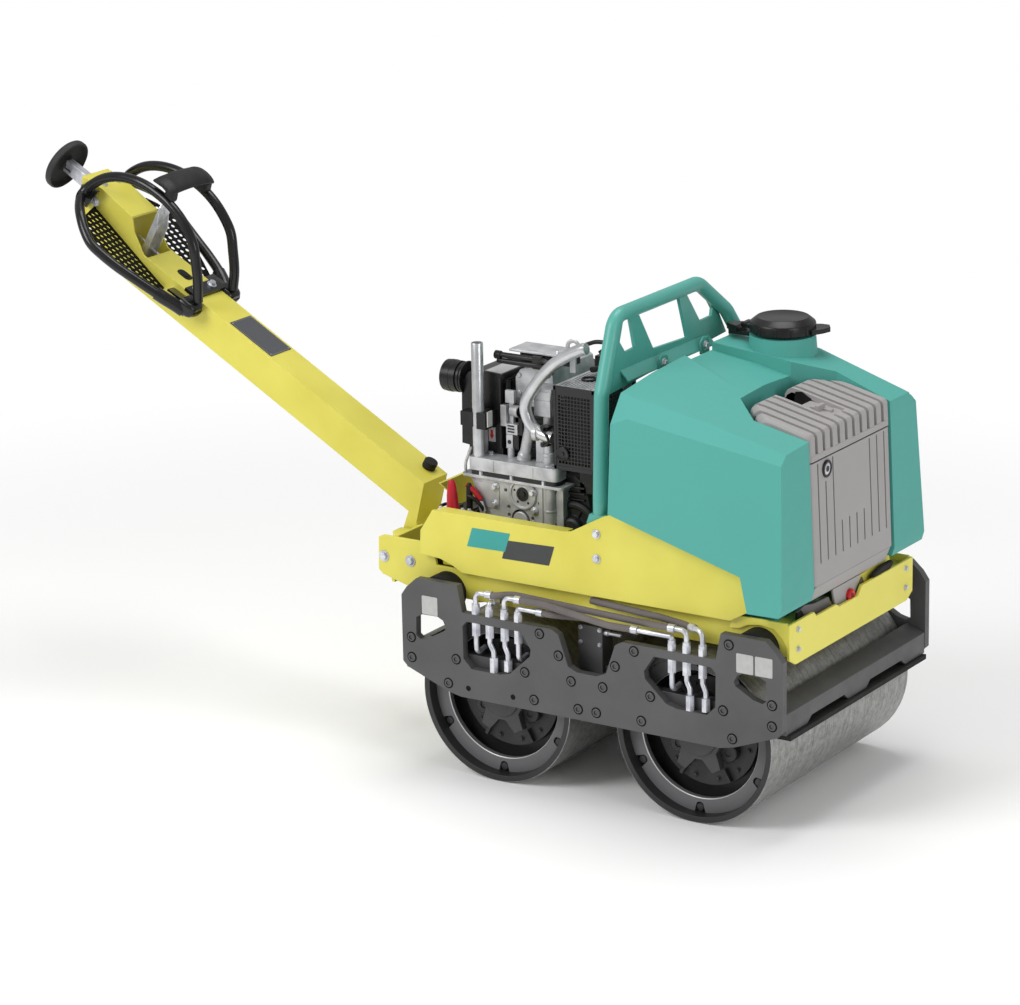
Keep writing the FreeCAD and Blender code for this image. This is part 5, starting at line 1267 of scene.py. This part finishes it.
# ---------------------------------------------------------------- fan grille
# Rings and spokes of black moulded plastic over the fan's opening, on the far side of the
# cowl, with a round cap in the middle.
FAN_SPOT, FAN_SPOKES = Vector((-243, 149, 792)), 8
FAN_FOOT = FAN_SPOT + Vector((0, 1, 0))
mesh = bmesh.new()
for radius in (52, 40, 28, 16):
    lathe(mesh, [(radius, 0), (radius, 5), (radius - 3.5, 5), (radius - 3.5, 0)], FAN_FOOT,
          (0, 1, 0), 48)
for k in range(FAN_SPOKES):
    angle = math.tau * k / FAN_SPOKES
    out = Vector((math.cos(angle), 0, math.sin(angle)))
    flat = Vector((-out.z, 0, out.x))
    near, far = FAN_SPOT + out * 8, FAN_SPOT + out * 51
    prism(mesh, [near - flat * 2, far - flat * 2, far + flat * 2, near + flat * 2], (0, 5, 0))
lathe(mesh, [(11, 0), (11, 6), (9, 8), (0, 8)], FAN_SPOT, (0, 1, 0), 28)
piece("fan_grille", mesh, black_plastic, "machine", HERE)

# ---------------------------------------------------------------- water tank
# A tank of rotationally moulded polyethylene, teal right through, with soft folded facets. It
# sits on the rails and is bolted to the roll bar's lugs.

# Polyethylene: slightly waxy and soft, with faint clouds, and rubbed duller in places.
teal_plastic, tree, shader = new_material("moulded_polyethylene_teal", "#57A99F", 0.5, 0.0,
                                          "teal_plastic")
place = add(tree, "ShaderNodeTexCoord").outputs["Object"]
cloud = add(tree, "ShaderNodeTexNoise", {"Vector": place, "Scale": 1000 / 240, "Detail": 3.0})
tone = add(tree, "ShaderNodeMix", {0: cloud.outputs[0], 6: colour("#54A79C"), 7: colour("#59ACA2")},
           data_type="RGBA")
tree.links.new(tone.outputs[2], shader.inputs["Base Color"])
rub = add(tree, "ShaderNodeTexNoise", {"Vector": place, "Scale": 1000 / 30, "Detail": 6.0})
dull = add(tree, "ShaderNodeMapRange", {"Value": rub.outputs[0], "To Min": 0.4, "To Max": 0.6})
tree.links.new(dull.outputs[0], shader.inputs["Roughness"])
skin = add(tree, "ShaderNodeTexNoise", {"Vector": place, "Scale": 1000 / 2.5, "Detail": 2.0})
bump = add(tree, "ShaderNodeBump", {"Height": skin.outputs[0], "Strength": 0.12, "Distance": 0.0003})
tree.links.new(bump.outputs[0], shader.inputs["Normal"])
shader.inputs["Specular IOR Level"].default_value = 0.25
dress(["water_tank"], teal_plastic, 5.0)

# ---------------------------------------------------------------- filler cap
# A round cap of black plastic on the tank's neck, moulded with a stepped top and grip ribs.
# It has a tab for the hinge on one side and one for the latch on the other.
dress(["filler_hinge"], black_plastic, 2.0)
CAP_X, CAP_Y, CAP_RIBS = 829, 200, 12
mesh = bmesh.new()
lathe(mesh, [(70, 2), (73, 0), (76, 1), (76.5, 20), (75, 24), (62, 34.5), (59, 36), (57, 35.4),
             (0, 36.4)],
      (CAP_X, CAP_Y, 1013), (0, 0, 1), 64)
prism(mesh, [(CAP_X + x, CAP_Y + y, 1014) for x, y in (
    (56, -5), (82, -10), (96, 16), (102, 40), (88, 62), (68, 62), (46, 50))], (0, 0, 11))
prism(mesh, [(CAP_X + x, CAP_Y + y, 1014) for x, y in (
    (-104, -12), (-96, -18), (-46, -30), (-46, 30), (-96, 18), (-104, 12))], (0, 0, 10))
block(mesh, (729, 184, 1012), (742, 216, 1026))
root = Vector((CAP_X, CAP_Y, 1015))
for k in range(CAP_RIBS):
    angle = math.radians(15 + 360 / CAP_RIBS * k)
    out = Vector((math.cos(angle), math.sin(angle), 0))
    flat = Vector((-out.y, out.x, 0))
    near, far = root + out * 74, root + out * 78
    prism(mesh, [near - flat * 4, far - flat * 3, far + flat * 3, near + flat * 4], (0, 0, 18))
cap = piece("cap_shell", mesh, black_plastic, "filler_lid", None, 1.2)
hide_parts("filler_lid")

# ---------------------------------------------------------------- front grille
# A moulded grey grille that is let into the tank, with ribs over its top and down its front.
# A catch in the well in its middle holds it down.

# Moulded grey plastic: matt and warm, with faint clouds and a grain of about 2 mm.
grey_plastic, tree, shader = new_material("moulded_grey_plastic", "#A3A09F", 0.5, 0.0, "grey_plastic")
place = add(tree, "ShaderNodeTexCoord").outputs["Object"]
cloud = add(tree, "ShaderNodeTexNoise", {"Vector": place, "Scale": 1000 / 120, "Detail": 4.0})
tone = add(tree, "ShaderNodeMix", {0: cloud.outputs[0], 6: colour("#9F9C9B"), 7: colour("#A8A5A4")},
           data_type="RGBA")
tree.links.new(tone.outputs[2], shader.inputs["Base Color"])
skin = add(tree, "ShaderNodeTexNoise", {"Vector": place, "Scale": 1000 / 2, "Detail": 3.0})
dull = add(tree, "ShaderNodeMapRange", {"Value": skin.outputs[0], "To Min": 0.4, "To Max": 0.6})
tree.links.new(dull.outputs[0], shader.inputs["Roughness"])
bump = add(tree, "ShaderNodeBump", {"Height": skin.outputs[0], "Strength": 0.15, "Distance": 0.0003})
tree.links.new(bump.outputs[0], shader.inputs["Normal"])

# The slots' floors and the door's grooves are painted this dark grey as their shade.
shaded_plastic = powder_coat("slot_floor_painted_shade", "#3A3837", "#333130", "grey_plastic", 0.6)

SLOT_PITCH, SLOT_HALF, GRILLE_HALF = 34.3, 6.0, 185
SLOTS = [(k - 4.5) * SLOT_PITCH for k in range(10)]


def grille_profile(rear, sunk_top, sunk_front, foot):
    """The grille's outline from the side, from a rear edge forward, sunk for a slot's floor."""
    def roof(x):
        return 896 + (467 - x) * 0.2391 - sunk_top
    if rear > 400:
        return [(rear, foot), (481 - sunk_front, foot), (478 - sunk_front, 887 - sunk_top),
                (474 - sunk_front, 893 - sunk_top), (467 - sunk_front, roof(467)),
                (rear + 3, roof(rear + 3)), (rear, roof(rear) - 3)]
    return [(rear, foot), (481 - sunk_front, foot), (478 - sunk_front, 887 - sunk_top),
            (474 - sunk_front, 893 - sunk_top), (467 - sunk_front, roof(467)),
            (rear + 36, roof(rear + 36)), (rear + 18, roof(rear + 27) + 1),
            (rear + 6, roof(rear + 36) - 4), (rear, roof(rear + 36) - 15)]


def grille_slice(mesh, low_y, high_y, rear=None, sunk_top=0.0, sunk_front=0.0, foot=832, finish=0):
    """One slice across the grille, whose rear edge follows the tank's cut corners."""
    rings = []
    for y in (low_y, high_y):
        back = rear or 293 + max(0.0, abs(y) - 123) * 0.9
        round_off = 6 * max(0.0, (abs(y) - 179) / 6) ** 2
        rings.append([(x, y, z) for x, z in grille_profile(back, sunk_top + round_off,
                                                           sunk_front + round_off, foot)])
    loft(mesh, rings, finish)


mesh = bmesh.new()
edges = [-GRILLE_HALF] + [y + s * SLOT_HALF for y in SLOTS for s in (-1, 1)] + [GRILLE_HALF]
WELL_HALF, WELL_FRONT = 36, 444
for low_y, high_y in zip(edges[::2], edges[1::2]):
    lines = (-182, -179, -123, -WELL_HALF, WELL_HALF, 123, 179, 182)
    cuts = sorted({low_y, high_y} | {c for c in lines if low_y < c < high_y})
    for a, b in zip(cuts, cuts[1:]):
        within = abs(a + b) / 2 < WELL_HALF
        grille_slice(mesh, a, b, WELL_FRONT if within else None)
# The slots' sunk floors take the dark grey painted shade.
for side in (-1, 1):
    for a, b in ((WELL_HALF, 123), (123, 178)):
        grille_slice(mesh, *sorted((side * a, side * b)), None, 10, 16, 834, 1)
grille_slice(mesh, -WELL_HALF, WELL_HALF, WELL_FRONT, 10, 16, 834, 1)
block(mesh, (453, -179, 832), (481, 179, 846))
prism(mesh, [(x, -WELL_HALF, z) for x, z in ((293, 850), (WELL_FRONT + 8, 850), (WELL_FRONT + 8, 895),
                                             (360, 908), (340, 890), (293, 890))],
      (0, 2 * WELL_HALF, 0))
ribs = piece("grille_ribs", mesh, [grey_plastic, shaded_plastic], "machine", HERE, 2.0, 3)
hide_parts("front_grille")

# ---------------------------------------------------------------- grille well
# A flat black patch on the floor and far wall of the grille's well, painted shade for the hole
# there, with a moulded grey catch before it that holds the grille down.
mesh = bmesh.new()
prism(mesh, [(x, y, 889.5) for x, y in rounded(297, 338, -24, 26, 12, 5)], (0, 0, 1.6))
prism(mesh, [(x, 35.8, z) for x, z in ((318, 891), (356, 891), (362, 912), (338, 926),
                                       (322, 924))], (0, -3, 0))
piece("well_hole_painted_shade", mesh, black_plastic, "machine", HERE)
mesh = bmesh.new()
block(mesh, (400, -20, 895), (410, 12, 915))
block(mesh, (388, -20, 895), (402, -8, 912))
block(mesh, (408, 0, 893), (432, 12, 905))
piece("well_catch", mesh, grey_plastic, "machine", HERE, 1.5)

# ---------------------------------------------------------------- front door
# A moulded grey skin with fine upright grooves over a thin panel, hinged at its far edge. The
# grooves stop below a plain field in the middle.
DOOR_TOP, DOOR_FOOT = (482, 830), (494, 550)
EDGE_ROUND, DOOR_THICK = 8, 6.4
GROOVES = {0: 827, 1: 779, 2: 827, 3: 673, 4: 673, 5: 673, 6: 673, 7: 827, 8: 827, 9: 827}
GROOVE = 2.5

# Each groove is a narrow slot with round ends, from its foot at 600 up to its own top.
loops = []
for k, top in GROOVES.items():
    y = SLOTS[k]
    loops.append([(y + GROOVE * math.cos(math.radians(a)), z + GROOVE * math.sin(math.radians(a)))
                  for z, start in ((600, 270), (top - 4, 90))
                  for a in range(start - 90, start + 91, 30)])
loops = [loop[3:] + loop[:3] for loop in loops]


def door_point(y, z, sunk=0.0):
    """A spot on the door's front face, sunk by so much."""
    x = DOOR_TOP[0] + (DOOR_TOP[1] - z) / (DOOR_TOP[1] - DOOR_FOOT[1]) * (DOOR_FOOT[0] - DOOR_TOP[0])
    return (x - sunk, y, z)


mesh = bmesh.new()
low, high = box_mm("front_door")
near, far, foot, head = low.y + EDGE_ROUND, high.y - EDGE_ROUND, 550.3, 829.7
frame_line = [(near, foot), (far, foot), (far, head), (near, head)]
sheet(mesh, frame_line, loops, door_point, (-3.2, 0, 0))
# The thin panel behind the grooves is painted dark grey as their shade.
prism(mesh, [door_point(y, z, DOOR_THICK - 3) for y, z in frame_line], (-3.0, 0, 0), 1)
for edge, way in ((near, -1), (far, 1)):
    rim = [(EDGE_ROUND * math.sin(a), EDGE_ROUND * (1 - math.cos(a)))
           for a in (math.radians(15 * k) for k in range(7))]
    loft(mesh, [[door_point(edge + way * v, z, w) for v, w in rim]
                + [door_point(edge, z, DOOR_THICK + 2)] for z in (foot, head)])
skin = piece("door_skin", mesh, [grey_plastic, shaded_plastic], "front_door", HERE, 0.7)
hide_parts("front_door")

# ---------------------------------------------------------------- door lock
# A round key lock of zinc-plated steel in a black plastic rim, pressed into the door near its
# upper corner.
mesh = bmesh.new()
LOCK = Vector(door_point(-116, 805))
lathe(mesh, [(20, -1), (20, 3), (18, 4.5), (15, 4.5), (14, 2)], LOCK, (1, 0, 0), 40)
lathe(mesh, [(7, 2), (7, 3.6), (0, 3.6)], LOCK, (1, 0, 0), 24)
piece("door_lock_rim", mesh, black_plastic, "front_door", HERE)
mesh = bmesh.new()
lathe(mesh, [(14, 0), (14, 2.4), (12, 3.2), (6.5, 3.2)], LOCK, (1, 0, 0), 32)
piece("door_lock", mesh, zinc, "front_door", HERE)

# ---------------------------------------------------------------- sill and button
# The grey sill and the black backing close the opening round the door. A red button with a
# black centre is screwed into the sill's bracket.
dress(["front_sill"], grey_plastic, 2.0)
dress(["front_backing"], black_plastic, 1.0)

# Red plastic: glossy and saturated.
red_plastic = powder_coat("moulded_red_plastic", "#D3141B", "#BD1118", "grey_plastic", 0.3)
BUTTON = (476, 6, 478)
mesh = bmesh.new()
lathe(mesh, [(15, -1), (15, 6), (13, 9), (10, 10), (6, 8.5), (6, 6.5)], BUTTON, (1, 0, 0), 36)
lathe(mesh, [(6, 6.5), (4, 8), (0, 8.2)], BUTTON, (1, 0, 0), 20, 1)
piece("sill_button", mesh, [red_plastic, black_plastic], "machine", HERE)

# ---------------------------------------------------------------- tray behind the bumper
# A moulded grey tray with a black rubber edge under the door, and a rubber strap that hooks
# over it. A folded yellow plate behind them is bolted to the bumper.

# The tray lies in shade, so its grey plastic is darker and browner than the door's.
sill_plastic = powder_coat("moulded_grey_plastic_tray", "#716E6D", "#676463", "grey_plastic", 0.5)
mesh = bmesh.new()
prism(mesh, [(462, y, z) for y, z in ((-222, 450), (-222, 500), (-190, 508), (-150, 500), (-80, 497),
                                      (-58, 460), (40, 460), (80, 500), (96, 470), (96, 450))],
      (9, 0, 0))
prism(mesh, [(466, y, z) for y, z in ((-226, 450), (-226, 498), (-208, 502), (-194, 486), (-190, 450))],
      (7, 0, 0), 1)
piece("sill_tray", mesh, [sill_plastic, black_rubber], "machine", HERE, 2.0)
mesh = bmesh.new()
prism(mesh, [(474, y, z) for y, z in ((100, 494), (106, 489), (130, 485), (158, 483), (166, 473),
                                      (172, 476), (180, 488), (198, 496), (205, 503), (197, 509),
                                      (150, 508), (118, 502))], (12, 0, 0))
piece("sill_strap", mesh, black_rubber, "machine", HERE, 5.0, 4)
mesh = bmesh.new()
prism(mesh, [(464, y, z) for y, z in ((44, 452), (44, 512), (66, 516), (104, 512), (118, 520),
                                      (214, 518), (220, 500), (220, 452))], (3, 0, 0))
# The plate takes the bumper's lighter yellow, painted light.
piece("bumper_back_plate", mesh, lit_yellow_paint, "machine", HERE, 0.8)

# ---------------------------------------------------------------- roll bar
# Bent steel tube with a cut-out sheet web welded under it, powder coated teal. A folded strip
# runs along the web's foot, with two lugs bolted to the tank.

# Teal powder coat: the tank's hue with a clearer sheen.
LUGS = (-27, 159)
teal_paint = powder_coat("powder_coated_steel_teal", "#57AB9F", "#52A499", "teal_paint", 0.36)
dress(["roll_bar"], teal_paint, 1.2)
mesh = bmesh.new()
prism(mesh, [(x, -176, z) for x, z in ((-11, 980), (-8, 980), (12, 958), (12, 955), (9, 955),
                                       (-12, 977))],
      (0, 388, 0))
for y in LUGS:
    outline = [(y - 20, 948), (y + 20, 948), (y + 20, 972), (y + 14, 984), (y - 8, 988), (y - 20, 978)]
    prism(mesh, [(11, u, v) for u, v in outline], (5, 0, 0))
piece("roll_bar_strip", mesh, teal_paint, "machine", HERE, 1.5)
mesh = bmesh.new()
for y in LUGS:
    hex_bolt(mesh, (15.5, y, 966), (1, 0, 0), 8.5, 11.5)
piece("roll_bar_bolts", mesh, zinc, "machine", HERE, 0.5)
